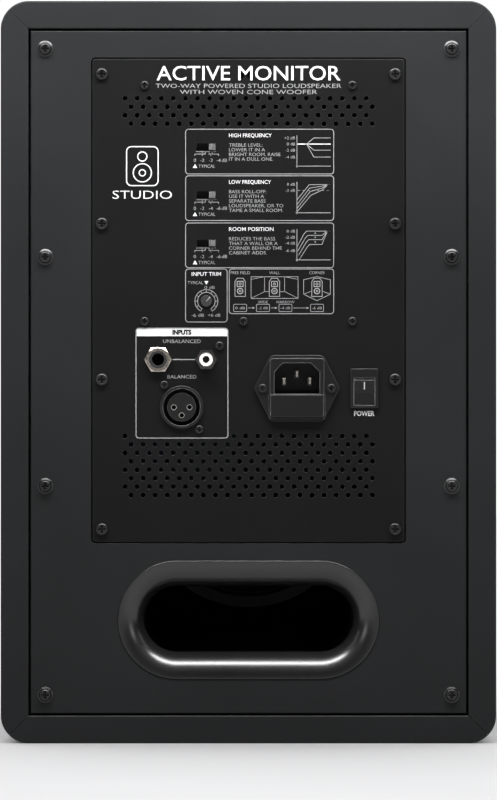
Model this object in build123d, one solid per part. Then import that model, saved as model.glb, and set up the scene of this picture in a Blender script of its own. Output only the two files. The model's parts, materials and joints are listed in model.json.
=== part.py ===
from build123d import *
import math
import os

os.makedirs("parts", exist_ok=True)

# An upright two-way active studio monitor. Millimetres, +Z up, the drivers face -Y and the
# connector plate faces +Y. The origin is the middle of the cabinet's underside.

# Cabinet
WIDTH = 267.0
HEIGHT = 400.0
Y_FRONT = -145.0
Y_REAR = 145.0
BOARD = 15.0
BAFFLE = 22.0
CORNER_R = 15.0
MITRE_GAP = 0.16
BOARD_EDGE = 0.8
Y_BAFFLE = Y_FRONT + BAFFLE
INNER_X = WIDTH / 2 - BOARD
INNER_TOP = HEIGHT - BOARD

# Rear panel, set into the four boards
PANEL_GAP = 1.2
PANEL = 15.0
WASHER = 0.9
Y_PANEL = Y_REAR - 0.5
Y_PANEL_BACK = Y_PANEL - PANEL
BATTEN = 18.0
PANEL_SCREWS = [(x, z) for x in (-109.5, 109.5) for z in (26.1, 138.6, 262.0, 374.2)]

# Reflex port, a stadium-shaped duct with a flared mouth
PORT_Z = 66.6
PORT_WIDTH = 112.6
PORT_HEIGHT = 35.7
PORT_FLARE = 14.0
PORT_WALL = 3.0
PORT_RELIEF = 22.0
PORT_FIT = 0.1
Y_PORT_MOUTH = Y_PANEL + 0.6
Y_PORT_END = 25.0

# Amplifier plate and what it clamps, in a rebate of the rear panel
PLATE_WIDTH = 168.6
PLATE_HEIGHT = 260.8
PLATE_Z = 238.6
PLATE = 2.0
PLATE_EDGE = 0.5
GASKET = 1.0
FLANGE = 1.2
Y_PLATE = Y_PANEL - 0.2
Y_PLATE_BACK = Y_PLATE - PLATE
Y_GASKET = Y_PLATE_BACK - GASKET
Y_REBATE = Y_GASKET - FLANGE
REBATE_GAP = 0.5
LANDING_X = 74.0
LANDING_Z = 125.0
PLATE_SCREWS = [(x, z) for x in (-79.0, 79.0) for z in (115.4, 196.0, 280.0, 360.6)]
SINK_SCREWS = [(-56.0, 354.6), (56.0, 354.6), (-56.0, 227.4), (2.7, 227.4), (56.0, 227.4)]

# Vents, in staggered rows
VENT_R = 1.35
VENT_PITCH = 6.5
VENT_ROW = 4.55
VENTS_PER_ROW = 21
VENT_STARTS = (66.5, 63.3)
TOP_VENT_Z = 347.5
TOP_VENT_ROWS = 4
LOW_VENT_Z = 165.6
LOW_VENT_ROWS = 8
INPUTS_AREA = (11.0, 60.7, 164.4)

# Controls
SWITCH_X = 22.8
SWITCH_Z = {"hf": 321.4, "lf": 295.5, "room": 269.5}
SLOT_LENGTH = 10.5
SLOT_HEIGHT = 4.0
LEVER_X = SWITCH_X - 3.2
TRIM_X, TRIM_Z = 22.7, 238.3
TRIM_REST = 42.0

# Inputs
JACK_X, RCA_X, SOCKET_Z = 48.7, 22.8, 206.8
XLR_X, XLR_Z = 36.0, 181.1
XLR_SCREWS = [(45.5, 193.1), (26.5, 169.1)]
BLOCK_SCREW = (15.6, 214.2)
XLR_CONTACTS = [(XLR_X + 4.2, XLR_Z), (XLR_X - 4.2, XLR_Z), (XLR_X, XLR_Z - 4.3)]
RCA_BORE_R = 3.6
JACK_NUT_R = 7.5

# Mains
IEC_X, IEC_Z = -26.1, 191.3
IEC_SCREW_SPAN = 18.55
SOCKET_OUTLINE = [
    (-12.25, IEC_Z - 3.0), (12.25, IEC_Z - 3.0), (12.25, IEC_Z + 8.9), (7.6, IEC_Z + 13.7),
    (-7.6, IEC_Z + 13.7), (-12.25, IEC_Z + 8.9),
]
ROCKER_X, ROCKER_Z = -62.4, 189.4
BEZEL_Z = 191.3
SWITCH_TABS = [(ROCKER_X + x, BEZEL_Z + z) for x in (-3.5, 3.5) for z in (-5.0, 5.0)]
Y_ROCKER = Y_PLATE - 0.5
ROCKER_TILT = 10.0

# Sealed amplifier chamber
TUB_X = 73.4
TUB_Z = 124.4
TUB_WALL = 1.6
Y_TUB = 62.0
Y_POWER_PCB = 66.0
PCB = 1.6
Y_SINK = 104.0
SINK_BASE = 5.0
Y_CONTROL_PCB = 131.0
Y_INPUT_PCB = 112.4
TOROID_X, TOROID_Z = -30.0, 155.0

# Woofer
WOOFER_Z = 128.0
Y_FLANGE = Y_FRONT - 0.5
WOOFER_R = 106.5
WOOFER_HOLE_R = 97.5
CONE_R = 84.0
NECK_R = 25.4
Y_NECK = -92.0
Y_SPIDER = -86.35
FORMER_R = 25.3
POLE_R = 24.3
Y_TOP_PLATE = -66.0
Y_TERMINAL = -104.0
WOOFER_SCREW_R = 101.6
WOOFER_SCREW_ANGLES = [math.radians(22.5 + 45 * i) for i in range(8)]
WOOFER_SCREWS = [
    (WOOFER_SCREW_R * math.cos(a), WOOFER_Z + WOOFER_SCREW_R * math.sin(a)) for a in WOOFER_SCREW_ANGLES
]

# Tweeter
TWEETER_Z = 318.0
WAVEGUIDE_WIDTH = 176.0
WAVEGUIDE_HEIGHT = 118.0
WAVEGUIDE_LIP = 2.5
HORN = [(0.0, 75.0, 48.0), (7.5, 52.0, 36.0), (15.5, 29.0, 22.5), (21.5, 17.0, 15.4), (24.5, 14.6, 14.5)]
DOME_R = 12.4
TWEETER_SCREWS = [(x, TWEETER_Z + z) for x in (-79.0, 79.0) for z in (-50.0, 50.0)]
LED_Z = 247.5

# Screws: the cross recess as shares of the head's radius and height
RECESS_LENGTH = 1.2
RECESS_WIDTH = 0.3
RECESS_DEPTH = 0.65


# ---- helpers ----

def block(x0, x1, y0, y1, z0, z1):
    """A box given by its bounds."""
    centre = ((x0 + x1) / 2, (y0 + y1) / 2, (z0 + z1) / 2)
    return Pos(*centre) * Box(abs(x1 - x0), y1 - y0, z1 - z0)


def slab(outline, y0, y1):
    """An outline drawn with x across and z up, made solid from y0 to y1."""
    return extrude(Plane.XZ.offset(-y0) * outline, -(y1 - y0))


def rod(radius, y0, y1, x, z):
    """A round bar along Y."""
    return slab(Pos(x, z) * Circle(radius), y0, y1)


def tube(outer, inner, y0, y1, x, z):
    """A round tube along Y."""
    return rod(outer, y0, y1, x, z) - rod(inner, y0 - 1, y1 + 1, x, z)


def frame(outer, inner, y0, y1):
    """An outline less the outline inside it, made solid from y0 to y1."""
    return slab(outer, y0, y1) - slab(inner, y0 - 1, y1 + 1)


def turned(profile, x=0.0, z=0.0):
    """A body of revolution about a line along Y, from (radius, y) corners."""
    return Pos(x, 0, z) * revolve(make_face(Polyline(*profile, close=True)), Axis.Y)


def turned_skin(height, inner, outer, thickness, steps=10):
    """A thin skin of revolution, where height(radius) gives the y of its front face."""
    radii = [inner + (outer - inner) * i / steps for i in range(steps + 1)]
    front = [(r, height(r)) for r in radii]
    back = [(r, y + thickness) for r, y in front]
    edges = [Spline(*front), Line(front[-1], back[-1]), Spline(*back[::-1]), Line(back[0], front[0])]
    return revolve(make_face(edges), Axis.Y)


def stadium(width, height, z):
    return Pos(0, z) * SlotOverall(width, height)


def group(pieces):
    """Separate solids kept together as one sub-part."""
    return Compound(children=[solid for piece in pieces for solid in piece.solids()])


def screw(head_r, head_h, shank_r, length, x, y, z, front=False):
    """A cross-recessed pan-head screw whose head rests on y and faces the rear, or the front."""
    head = fillet(Cylinder(head_r, head_h, align=(Align.CENTER, Align.CENTER, Align.MIN))
                  .edges().group_by(Axis.Z)[-1], head_h * 0.55)
    shank = Cylinder(shank_r, length, align=(Align.CENTER, Align.CENTER, Align.MAX))
    tip = Cone(shank_r, 0.4, shank_r * 1.6, align=(Align.CENTER, Align.CENTER, Align.MIN))
    point = Pos(0, 0, -length) * Rot(180, 0, 0) * tip
    depth = head_h * RECESS_DEPTH
    slot = Pos(0, 0, head_h - depth / 2) * Box(head_r * RECESS_LENGTH, head_r * RECESS_WIDTH, depth)
    body = head + shank + point - slot - Rot(0, 0, 90) * slot
    return Pos(x, y, z) * Rot(90 if front else -90, 0, 0) * body


# ---- cabinet ----

def cabinet_board(turn):
    """One mitred board. The outline is the top board's, and the others are it turned about Y."""
    half = {0: WIDTH / 2, 180: WIDTH / 2, 90: HEIGHT / 2, 270: HEIGHT / 2}[turn]
    edge = {0: HEIGHT / 2, 180: HEIGHT / 2, 90: WIDTH / 2, 270: WIDTH / 2}[turn]
    centre = half - CORNER_R
    reach = CORNER_R * math.sin(math.radians(45))
    mid = CORNER_R * math.sin(math.radians(22.5))
    rise = CORNER_R * math.cos(math.radians(22.5))
    base = edge - CORNER_R
    gap = MITRE_GAP / math.sqrt(2)
    corner = (centre + reach - gap, base + reach)
    far_corner = (-centre - reach + gap, base + reach)
    lines = [
        Line((-centre + gap, base), (centre - gap, base)),
        Line((centre - gap, base), corner),
        ThreePointArc(corner, (centre + mid - gap / 2, base + rise), (centre - gap, edge)),
        Line((centre - gap, edge), (-centre + gap, edge)),
        ThreePointArc((-centre + gap, edge), (-centre - mid + gap / 2, base + rise), far_corner),
        Line(far_corner, (-centre + gap, base)),
    ]
    board = slab(make_face(lines), Y_BAFFLE, Y_REAR)
    rim = board.edges().group_by(Axis.Y)[-1]
    board = fillet(rim.filter_by(GeomType.LINE).filter_by(Axis.X), BOARD_EDGE)
    return Pos(0, 0, HEIGHT / 2) * Rot(0, turn, 0) * board


def front_baffle():
    blank = slab(Pos(0, HEIGHT / 2) * RectangleRounded(WIDTH, HEIGHT, CORNER_R), Y_FRONT, Y_BAFFLE)
    blank = fillet(blank.edges().group_by(Axis.Y)[0], 7.0)
    rebate = Pos(0, TWEETER_Z) * RectangleRounded(WAVEGUIDE_WIDTH + 0.6, WAVEGUIDE_HEIGHT + 0.6, 22.3)
    horn_hole = Pos(0, TWEETER_Z) * Ellipse(79.0, 52.0)
    blank -= rod(WOOFER_R + 0.5, Y_FRONT - 1, Y_FRONT + 4.0, 0, WOOFER_Z)
    blank -= rod(WOOFER_HOLE_R, Y_FRONT - 1, Y_BAFFLE + 1, 0, WOOFER_Z)
    blank -= slab(rebate, Y_FRONT - 1, Y_FRONT + 4.0)
    blank -= slab(horn_hole, Y_FRONT - 1, Y_BAFFLE + 1)
    blank -= rod(2.5, Y_FRONT - 1, Y_BAFFLE + 1, 0, LED_Z)
    for x, z, radius in [(x, z, 1.8) for x, z in WOOFER_SCREWS] + [(x, z, 1.6) for x, z in TWEETER_SCREWS]:
        blank -= rod(radius, Y_FRONT, Y_BAFFLE - 4, x, z)
    return blank


def rear_panel():
    height = HEIGHT - 2 * BOARD - 2 * PANEL_GAP
    panel = slab(Pos(0, HEIGHT / 2) * Rectangle(2 * (INNER_X - PANEL_GAP), height), Y_PANEL_BACK, Y_PANEL)
    panel = fillet(panel.edges().group_by(Axis.Y)[-1], 0.5)
    landing = Pos(0, PLATE_Z) * RectangleRounded(2 * LANDING_X, 2 * LANDING_Z, 3.0)
    rebate = RectangleRounded(PLATE_WIDTH + 2 * REBATE_GAP, PLATE_HEIGHT + 2 * REBATE_GAP, 2.5)
    margin = 2 * PORT_FLARE + 2 * PORT_FIT
    mouth = stadium(PORT_WIDTH + margin, PORT_HEIGHT + margin, PORT_Z)
    panel -= slab(landing, Y_PANEL_BACK - 1, Y_PANEL + 1)
    panel -= slab(Pos(0, PLATE_Z) * rebate, Y_REBATE, Y_PANEL + 1)
    panel -= slab(mouth, Y_PANEL_BACK - 1, Y_PANEL + 1)
    for x, z in PANEL_SCREWS:
        panel -= rod(2.2, Y_PANEL_BACK - 1, Y_PANEL + 1, x, z)
    for x, z in PLATE_SCREWS:
        panel -= rod(1.7, Y_PANEL_BACK + 1.5, Y_PANEL, x, z)
    return panel


def rear_battens():
    """Four battens behind the rear panel, the upright ones full height."""
    y0, y1 = Y_PANEL_BACK - BATTEN, Y_PANEL_BACK
    inner = INNER_X - BATTEN
    uprights = [block(s * INNER_X, s * inner, y0, y1, BOARD, INNER_TOP) for s in (-1, 1)]
    for x, z in PANEL_SCREWS:
        uprights = [upright - rod(2.0, y0 - 1, y1 + 1, x, z) for upright in uprights]
    rails = [block(-inner, inner, y0, y1, z, z + BATTEN) for z in (BOARD, INNER_TOP - BATTEN)]
    return group(uprights + rails)


def rear_panel_screws():
    """Screws with captive dished washers."""
    inner, outer, step, top = 2.2, 4.4, Y_PANEL + 0.35, Y_PANEL + WASHER
    washer_profile = [(inner, Y_PANEL), (outer, Y_PANEL), (outer, step), (3.4, top), (inner, top)]
    pieces = []
    for x, z in PANEL_SCREWS:
        pieces.append(screw(3.1, 1.9, 2.0, 26.0, x, Y_PANEL + WASHER, z))
        pieces.append(turned(washer_profile, x, z))
    return group(pieces)


# ---- reflex port ----

def on_bore(edge):
    """Whether an edge of the port's mouth lies on its bore."""
    middle = edge @ 0.5
    return abs(middle.Z - PORT_Z) < PORT_HEIGHT / 2 + 1 and abs(middle.X) < PORT_WIDTH / 2 + 1


def on_outline(edge):
    """Whether an edge of the port's mouth lies on its outline."""
    middle = edge @ 0.5
    reach = PORT_FLARE - 0.2
    return abs(middle.Z - PORT_Z) > PORT_HEIGHT / 2 + reach or abs(middle.X) > PORT_WIDTH / 2 + reach


def port_tube():
    """The flared mouth and the duct behind it, in one moulding."""
    outer = stadium(PORT_WIDTH + 2 * PORT_FLARE, PORT_HEIGHT + 2 * PORT_FLARE, PORT_Z)
    duct = stadium(PORT_WIDTH + 2 * PORT_WALL, PORT_HEIGHT + 2 * PORT_WALL, PORT_Z)
    bore = stadium(PORT_WIDTH, PORT_HEIGHT, PORT_Z)
    mouth = frame(outer, bore, Y_PANEL_BACK, Y_PORT_MOUTH)
    mouth = fillet([e for e in mouth.edges().group_by(Axis.Y)[-1] if on_bore(e)], PORT_FLARE - 0.6)
    mouth = fillet([e for e in mouth.edges().group_by(Axis.Y)[-1] if on_outline(e)], 0.4)
    relief = stadium(PORT_WIDTH + PORT_RELIEF, PORT_HEIGHT + PORT_RELIEF, PORT_Z)
    hollow = frame(relief, duct, Y_PANEL_BACK - 1, Y_PANEL_BACK + 6.5)
    return mouth - hollow + frame(duct, bore, Y_PORT_END, Y_PANEL_BACK)


def port_inner_flare():
    """A ring slipped over the duct's inner end."""
    outer = stadium(PORT_WIDTH + 2 * PORT_FLARE, PORT_HEIGHT + 2 * PORT_FLARE, PORT_Z)
    hole = stadium(PORT_WIDTH, PORT_HEIGHT, PORT_Z)
    socket = stadium(PORT_WIDTH + 2 * PORT_WALL + 0.1, PORT_HEIGHT + 2 * PORT_WALL + 0.1, PORT_Z)
    neck = stadium(PORT_WIDTH + 4 * PORT_WALL, PORT_HEIGHT + 4 * PORT_WALL, PORT_Z)
    y_face = Y_PORT_END - 13.0
    ring = frame(outer, hole, y_face, Y_PORT_END)
    rim = [e for e in ring.edges().group_by(Axis.Y)[0] if on_bore(e)]
    return fillet(rim, 12.0) + frame(neck, socket, Y_PORT_END, Y_PORT_END + 14.0)


# ---- amplifier plate ----

def vents():
    """Centres of all vents: a group at the top, and one below that the input area interrupts."""
    x_low, x_high, z_low = INPUTS_AREA
    for top, rows in ((TOP_VENT_Z, TOP_VENT_ROWS), (LOW_VENT_Z, LOW_VENT_ROWS)):
        for row in range(rows):
            z = top - VENT_ROW * row
            for i in range(VENTS_PER_ROW):
                x = VENT_STARTS[row % 2] - VENT_PITCH * i
                if not (x_low < x < x_high and z_low < z < TOP_VENT_Z - VENT_ROW * TOP_VENT_ROWS):
                    yield x, z


def amp_plate():
    plate = Pos(0, PLATE_Z) * RectangleRounded(PLATE_WIDTH, PLATE_HEIGHT, 2.0)
    plate -= [Pos(x, z) * Circle(VENT_R) for x, z in vents()]
    plate -= [Pos(SWITCH_X, z) * Rectangle(SLOT_LENGTH, SLOT_HEIGHT) for z in SWITCH_Z.values()]
    plate -= Pos(TRIM_X, TRIM_Z) * Circle(3.5)
    plate -= Pos(JACK_X, SOCKET_Z) * Circle(4.8)
    plate -= Pos(RCA_X, SOCKET_Z) * Circle(4.4)
    plate -= Pos(XLR_X, XLR_Z) * Circle(11.8)
    plate -= Pos(IEC_X, IEC_Z) * Rectangle(28.0, 31.4)
    plate -= Pos(ROCKER_X, BEZEL_Z) * Rectangle(13.8, 19.6)
    plate -= [Pos(x, z) * Circle(2.0) for x, z in PLATE_SCREWS]
    plate -= [Pos(x, z) * Circle(1.6) for x, z in SINK_SCREWS]
    plate -= [Pos(x, z) * Circle(1.4) for x, z in connector_holes()]
    plate = slab(plate, Y_PLATE_BACK, Y_PLATE)
    return chamfer([e for e in plate.edges().group_by(Axis.Y)[-1] if on_plate_edge(e)], PLATE_EDGE)


def on_plate_edge(edge):
    """Whether an edge lies on the amplifier plate's outline."""
    middle = edge @ 0.5
    return abs(middle.X) > PLATE_WIDTH / 2 - 1 or abs(middle.Z - PLATE_Z) > PLATE_HEIGHT / 2 - 1


def connector_holes():
    mains = [(IEC_X + s * IEC_SCREW_SPAN, IEC_Z) for s in (-1, 1)]
    return XLR_SCREWS + [BLOCK_SCREW] + mains


def amp_plate_screws():
    return group([screw(3.35, 2.1, 1.7, 10.0, x, Y_PLATE, z) for x, z in PLATE_SCREWS])


def small_screws():
    """The screws that hold the heat sink, the sockets and the mains inlet to the plate."""
    sink = [screw(2.4, 1.6, 1.5, 9.0, x, Y_PLATE, z) for x, z in SINK_SCREWS]
    sockets = [screw(2.3, 1.5, 1.3, 7.0, x, Y_PLATE, z) for x, z in XLR_SCREWS + [BLOCK_SCREW]]
    inlet = [screw(2.4, 1.5, 1.3, 9.0, IEC_X + s * IEC_SCREW_SPAN, Y_PLATE + 2.5, IEC_Z) for s in (-1, 1)]
    return group(sink + sockets + inlet)


def clamped_outline(radius):
    return Pos(0, PLATE_Z) * RectangleRounded(PLATE_WIDTH - 1.0, PLATE_HEIGHT - 1.0, radius)


def amp_gasket():
    inner = Pos(0, PLATE_Z) * RectangleRounded(2 * LANDING_X + 1, 2 * LANDING_Z + 1, 3.0)
    ring = frame(clamped_outline(2.0), inner, Y_GASKET, Y_PLATE_BACK)
    for x, z in PLATE_SCREWS:
        ring -= rod(2.0, Y_GASKET - 1, Y_PLATE, x, z)
    return ring


def amp_housing():
    """The sealed tub behind the plate, with the flange that the plate clamps."""
    shell = slab(Pos(0, PLATE_Z) * RectangleRounded(2 * TUB_X, 2 * TUB_Z, 3.0), Y_TUB, Y_GASKET)
    shell += slab(clamped_outline(2.0), Y_REBATE, Y_GASKET)
    inside = Pos(0, PLATE_Z) * RectangleRounded(2 * (TUB_X - TUB_WALL), 2 * (TUB_Z - TUB_WALL), 1.6)
    shell -= slab(inside, Y_TUB + TUB_WALL, Y_GASKET + 1)
    for x, z in PLATE_SCREWS:
        shell -= rod(2.0, Y_REBATE - 1, Y_GASKET + 1, x, z)
    for x in (-64.0, 64.0):
        for z in (124.0, 212.0):
            shell += rod(3.0, Y_TUB, Y_POWER_PCB, x, z)
    return shell + rod(8.0, Y_TUB, Y_POWER_PCB, TOROID_X, TOROID_Z)


# ---- amplifier ----

def heat_sink():
    """A finned aluminium channel whose two feet are screwed to the plate."""
    y1 = Y_SINK + SINK_BASE
    sink = block(-66, 66, Y_SINK, y1, 222.4, 359.6)
    sink += block(-66, 66, y1, Y_PLATE_BACK, 222.4, 232.4)
    sink += block(-66, 66, y1, Y_PLATE_BACK, 349.6, 359.6)
    for i in range(13):
        x = -64.8 + 10.8 * i
        sink += block(x - 1.2, x + 1.2, Y_SINK - 28, Y_SINK, 228, 354)
    for x, z in SINK_SCREWS:
        sink -= rod(1.5, Y_PLATE_BACK - 14, Y_PLATE, x, z)
    return sink


def power_transistors():
    """Four flat power packages on the heat sink's base, each with three leads."""
    y0 = Y_SINK + SINK_BASE
    pieces = []
    for x in (-55.0, -37.0, -19.0, -1.0):
        body = block(x - 7.8, x + 7.8, y0, y0 + 5.0, 296, 317)
        body -= rod(1.8, y0 - 1, y0 + 6, x, 312)
        for lead in (-5.4, 0.0, 5.4):
            body += block(x + lead - 0.6, x + lead + 0.6, y0 + 1.8, y0 + 2.5, 282, 296)
        pieces.append(body)
    return group(pieces)


def power_pcb():
    board = block(-68, 68, Y_POWER_PCB, Y_POWER_PCB + PCB, 118.5, 216)
    return board - rod(4.2, Y_POWER_PCB - 1, Y_POWER_PCB + 3, TOROID_X, TOROID_Z)


def pcb_capacitors():
    y0 = Y_POWER_PCB + PCB
    large = [rod(12.5, y0, y0 + 35, x, z) for x, z in ((28.0, 195.0), (54.0, 160.0), (55.0, 195.0))]
    small = [rod(5.0, y0, y0 + 16, x, 130.0) for x in (14.0, 27.0, 40.0, 53.0)]
    large = [fillet(can.edges().group_by(Axis.Y)[-1], 1.2) for can in large]
    return group(large + small)


def transformer_core():
    return tube(29.0, 19.0, Y_POWER_PCB + PCB + 6, Y_POWER_PCB + PCB + 24, TOROID_X, TOROID_Z)


def transformer_winding():
    y0 = Y_POWER_PCB + PCB
    coil = tube(36.0, 12.0, y0, y0 + 30, TOROID_X, TOROID_Z)
    coil = fillet(coil.edges(), 5.0)
    return coil - tube(29.0, 19.0, y0 + 6, y0 + 24, TOROID_X, TOROID_Z)


def transformer_clamp():
    """A dished plate and its bolt, tapped into the housing's boss."""
    y0 = Y_POWER_PCB + PCB + 30
    dish = rod(24.0, y0, y0 + 2, TOROID_X, TOROID_Z)
    head = slab(Pos(TOROID_X, TOROID_Z) * RegularPolygon(7.5, 6), y0 + 2, y0 + 7)
    return dish + head + rod(4.0, Y_POWER_PCB, y0, TOROID_X, TOROID_Z)


def control_pcb():
    return block(8, 38, Y_CONTROL_PCB, Y_CONTROL_PCB + PCB, 233.0, 331.0)


def input_pcb():
    return block(8, 62, Y_INPUT_PCB, Y_INPUT_PCB + PCB, 165.0, 219.0)


# ---- controls ----

def slide_switch_bodies():
    y0 = Y_CONTROL_PCB + PCB
    pieces = []
    for z in SWITCH_Z.values():
        body = block(SWITCH_X - 9, SWITCH_X + 9, y0, Y_PLATE_BACK, z - 4.0, z + 4.0)
        channel = block(SWITCH_X - 5.4, SWITCH_X + 5.4, y0 + 4, Y_PLATE_BACK + 1, z - 2.0, z + 2.0)
        pieces.append(body - channel)
    return group(pieces)


def switch_lever(z):
    """A ribbed thumb piece that slides along its slot, past four contact positions."""
    y0 = Y_CONTROL_PCB + PCB + 4.3
    top = Y_PLATE + 1.3
    lever = block(LEVER_X - 1.7, LEVER_X + 1.7, y0, top, z - 1.65, z + 1.65)
    for x in (-1.0, 0.0, 1.0):
        lever -= block(LEVER_X + x - 0.22, LEVER_X + x + 0.22, top - 0.5, top + 1, z - 2, z + 2)
    return lever


def trim_pot_body():
    y0 = Y_CONTROL_PCB + PCB
    body = block(TRIM_X - 5, TRIM_X + 5, y0, y0 + 5.0, TRIM_Z - 5, TRIM_Z + 5)
    return body - rod(1.6, y0 + 0.5, y0 + 6, TRIM_X, TRIM_Z)


def trim_knob():
    """A round knob with a pointer groove, on a stem that turns in the potentiometer."""
    y0 = Y_CONTROL_PCB + PCB + 5.3
    top = Y_PLATE + 1.2
    knob = rod(3.15, y0, top, 0, 0)
    knob = chamfer(knob.edges().group_by(Axis.Y)[-1], 0.3)
    knob += rod(1.5, y0 - 4.0, y0, 0, 0)
    knob -= block(-0.4, 0.4, top - 0.8, top + 1, -0.6, 4.0)
    return Pos(TRIM_X, 0, TRIM_Z) * Rot(0, -TRIM_REST, 0) * knob


# ---- inputs ----

def xlr_shell():
    """A D-size socket shell mounted from behind, its round rim standing through the plate."""
    rim = rod(11.7, 118.0, Y_PLATE + 2.0, XLR_X, XLR_Z)
    rim = fillet(rim.edges().group_by(Axis.Y)[-1], 0.6)
    flange = Pos(XLR_X, XLR_Z) * RectangleRounded(26.0, 31.0, 2.0)
    shell = rim + slab(flange, Y_PLATE_BACK - 3.0, Y_PLATE_BACK)
    shell -= rod(10.0, 122.0, Y_PLATE + 3, XLR_X, XLR_Z)
    for x, z in XLR_SCREWS:
        shell -= rod(1.3, Y_PLATE_BACK - 4, Y_PLATE, x, z)
    return shell


def xlr_insert():
    """The contact carrier, which stands inside the shell with a ring-shaped gap around it."""
    insert = rod(7.8, 122.0, Y_PLATE + 0.7, XLR_X, XLR_Z)
    insert = fillet(insert.edges().group_by(Axis.Y)[-1], 0.3)
    for x, z in XLR_CONTACTS:
        insert -= rod(1.45, 124.0, Y_PLATE + 2, x, z)
    return insert


def jack_block():
    """One moulding for the jack and the phono socket, with the jack's threaded bush in front."""
    body = block(11.5, 56.2, Y_INPUT_PCB + PCB, Y_PLATE_BACK, 199.3, 218.4)
    body += rod(4.7, Y_PLATE_BACK, Y_PLATE + 3.6, JACK_X, SOCKET_Z)
    body -= rod(3.3, Y_INPUT_PCB + PCB + 1.5, Y_PLATE + 5, JACK_X, SOCKET_Z)
    body -= rod(4.2, Y_PLATE_BACK - 10, Y_PLATE, RCA_X, SOCKET_Z)
    body -= rod(1.3, Y_PLATE_BACK - 8, Y_PLATE, *BLOCK_SCREW)
    for side in (-1, 1):
        x = JACK_X + side * 3.8
        body -= block(x - 1.2, x + 1.2, 118, 138, SOCKET_Z - 1.0, SOCKET_Z + 1.0)
    return body


def jack_nut():
    """A flat washer and the hexagon nut on it, one pressed to the other."""
    top = Y_PLATE + 3.2
    washer = tube(6.6, 4.75, Y_PLATE, Y_PLATE + 0.8, JACK_X, SOCKET_Z)
    nut = slab(Pos(JACK_X, SOCKET_Z) * RegularPolygon(JACK_NUT_R, 6), Y_PLATE + 0.8, top)
    crown = [(0, Y_PLATE), (JACK_NUT_R, Y_PLATE), (JACK_NUT_R, top - 0.8), (JACK_NUT_R - 1.2, top), (0, top)]
    nut = nut & turned(crown, JACK_X, SOCKET_Z)
    return washer + (nut - rod(4.75, Y_PLATE, Y_PLATE + 4, JACK_X, SOCKET_Z))


def rca_barrel():
    """The phono socket's outer contact, with a hexagonal seat on the plate."""
    barrel = rod(4.15, Y_PLATE_BACK - 10, Y_PLATE + 8.0, RCA_X, SOCKET_Z)
    barrel = chamfer(barrel.edges().group_by(Axis.Y)[-1], 0.3)
    barrel += slab(Pos(RCA_X, SOCKET_Z) * RegularPolygon(5.9, 6), Y_PLATE, Y_PLATE + 1.6)
    return barrel - rod(RCA_BORE_R, Y_PLATE_BACK - 11, Y_PLATE + 9, RCA_X, SOCKET_Z)


def rca_insulator():
    body = rod(RCA_BORE_R, Y_PLATE_BACK - 10, Y_PLATE + 7.8, RCA_X, SOCKET_Z)
    return body - rod(2.0, Y_PLATE_BACK - 8, Y_PLATE + 9, RCA_X, SOCKET_Z)


def signal_contacts():
    """Three XLR socket contacts, the phono centre contact and the jack's two leaf springs."""
    pieces = [tube(1.45, 1.2, 124.0, Y_PLATE + 0.6, x, z) for x, z in XLR_CONTACTS]
    pieces.append(tube(2.0, 1.7, Y_PLATE_BACK - 8, Y_PLATE + 7.6, RCA_X, SOCKET_Z))
    for side in (-1, 1):
        x = JACK_X + side * 4.2
        pieces.append(block(x - 0.2, x + 0.2, 118, 138, SOCKET_Z - 0.9, SOCKET_Z + 0.9))
    return group(pieces)


# ---- mains ----

def iec_inlet_body():
    """The mains inlet with its six-sided flange, raised face, pin socket and drawer bay."""
    flange_points = [(23.2, 0), (14.2, 17.95), (-14.2, 17.95), (-23.2, 0), (-14.2, -17.95), (14.2, -17.95)]
    flange = make_face(FilletPolyline(*flange_points, radius=[2.6, 4, 4, 2.6, 4, 4], close=True))
    body = slab(Pos(IEC_X, IEC_Z) * flange, Y_PLATE, Y_PLATE + 2.5)
    body = fillet(body.edges().group_by(Axis.Y)[-1], 0.5)
    raised = Pos(IEC_X, IEC_Z) * RectangleRounded(29.0, 32.3, 1.6)
    body += fillet(slab(raised, Y_PLATE, Y_PLATE + 4.0).edges().group_by(Axis.Y)[-1], 0.4)
    body += block(IEC_X - 13.9, IEC_X + 13.9, 112.0, Y_PLATE, IEC_Z - 15.6, IEC_Z + 15.6)
    socket = Polyline(*[(IEC_X + x, z) for x, z in SOCKET_OUTLINE], close=True)
    body -= slab(make_face(socket), 131.0, Y_PLATE + 5)
    body -= block(IEC_X - 15, IEC_X + 15, Y_PLATE + 0.8, Y_PLATE + 5, 175.0, 187.9)
    body -= block(IEC_X - 12.0, IEC_X + 12.0, 128.3, Y_PLATE + 1, 177.6, 185.8)
    for x, _, z in iec_pins():
        body -= block(x - 1.0, x + 1.0, 111, 132, z - 2.0, z + 2.0)
    for side in (-1, 1):
        body -= rod(1.5, Y_PLATE - 1, Y_PLATE + 3, IEC_X + side * IEC_SCREW_SPAN, IEC_Z)
    return body


def iec_pins():
    """Each pin's x, the y of its tip and its z: the earth pin in the middle stands a little higher."""
    return [(IEC_X - 7.0, 146.0, 195.0), (IEC_X + 7.0, 146.0, 195.0), (IEC_X, 146.0, 199.1)]


def mains_contacts():
    """The inlet's three pins with their tabs, and the switch's four tabs."""
    pins = [block(x - 1.0, x + 1.0, 104.0, tip, z - 2.0, z + 2.0) for x, tip, z in iec_pins()]
    pins = [chamfer(pin.edges().group_by(Axis.Y)[-1], 0.6) for pin in pins]
    tabs = [block(x - 0.4, x + 0.4, 112.0, 124.0, z - 2.4, z + 2.4) for x, z in SWITCH_TABS]
    return group(pins + tabs)


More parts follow.
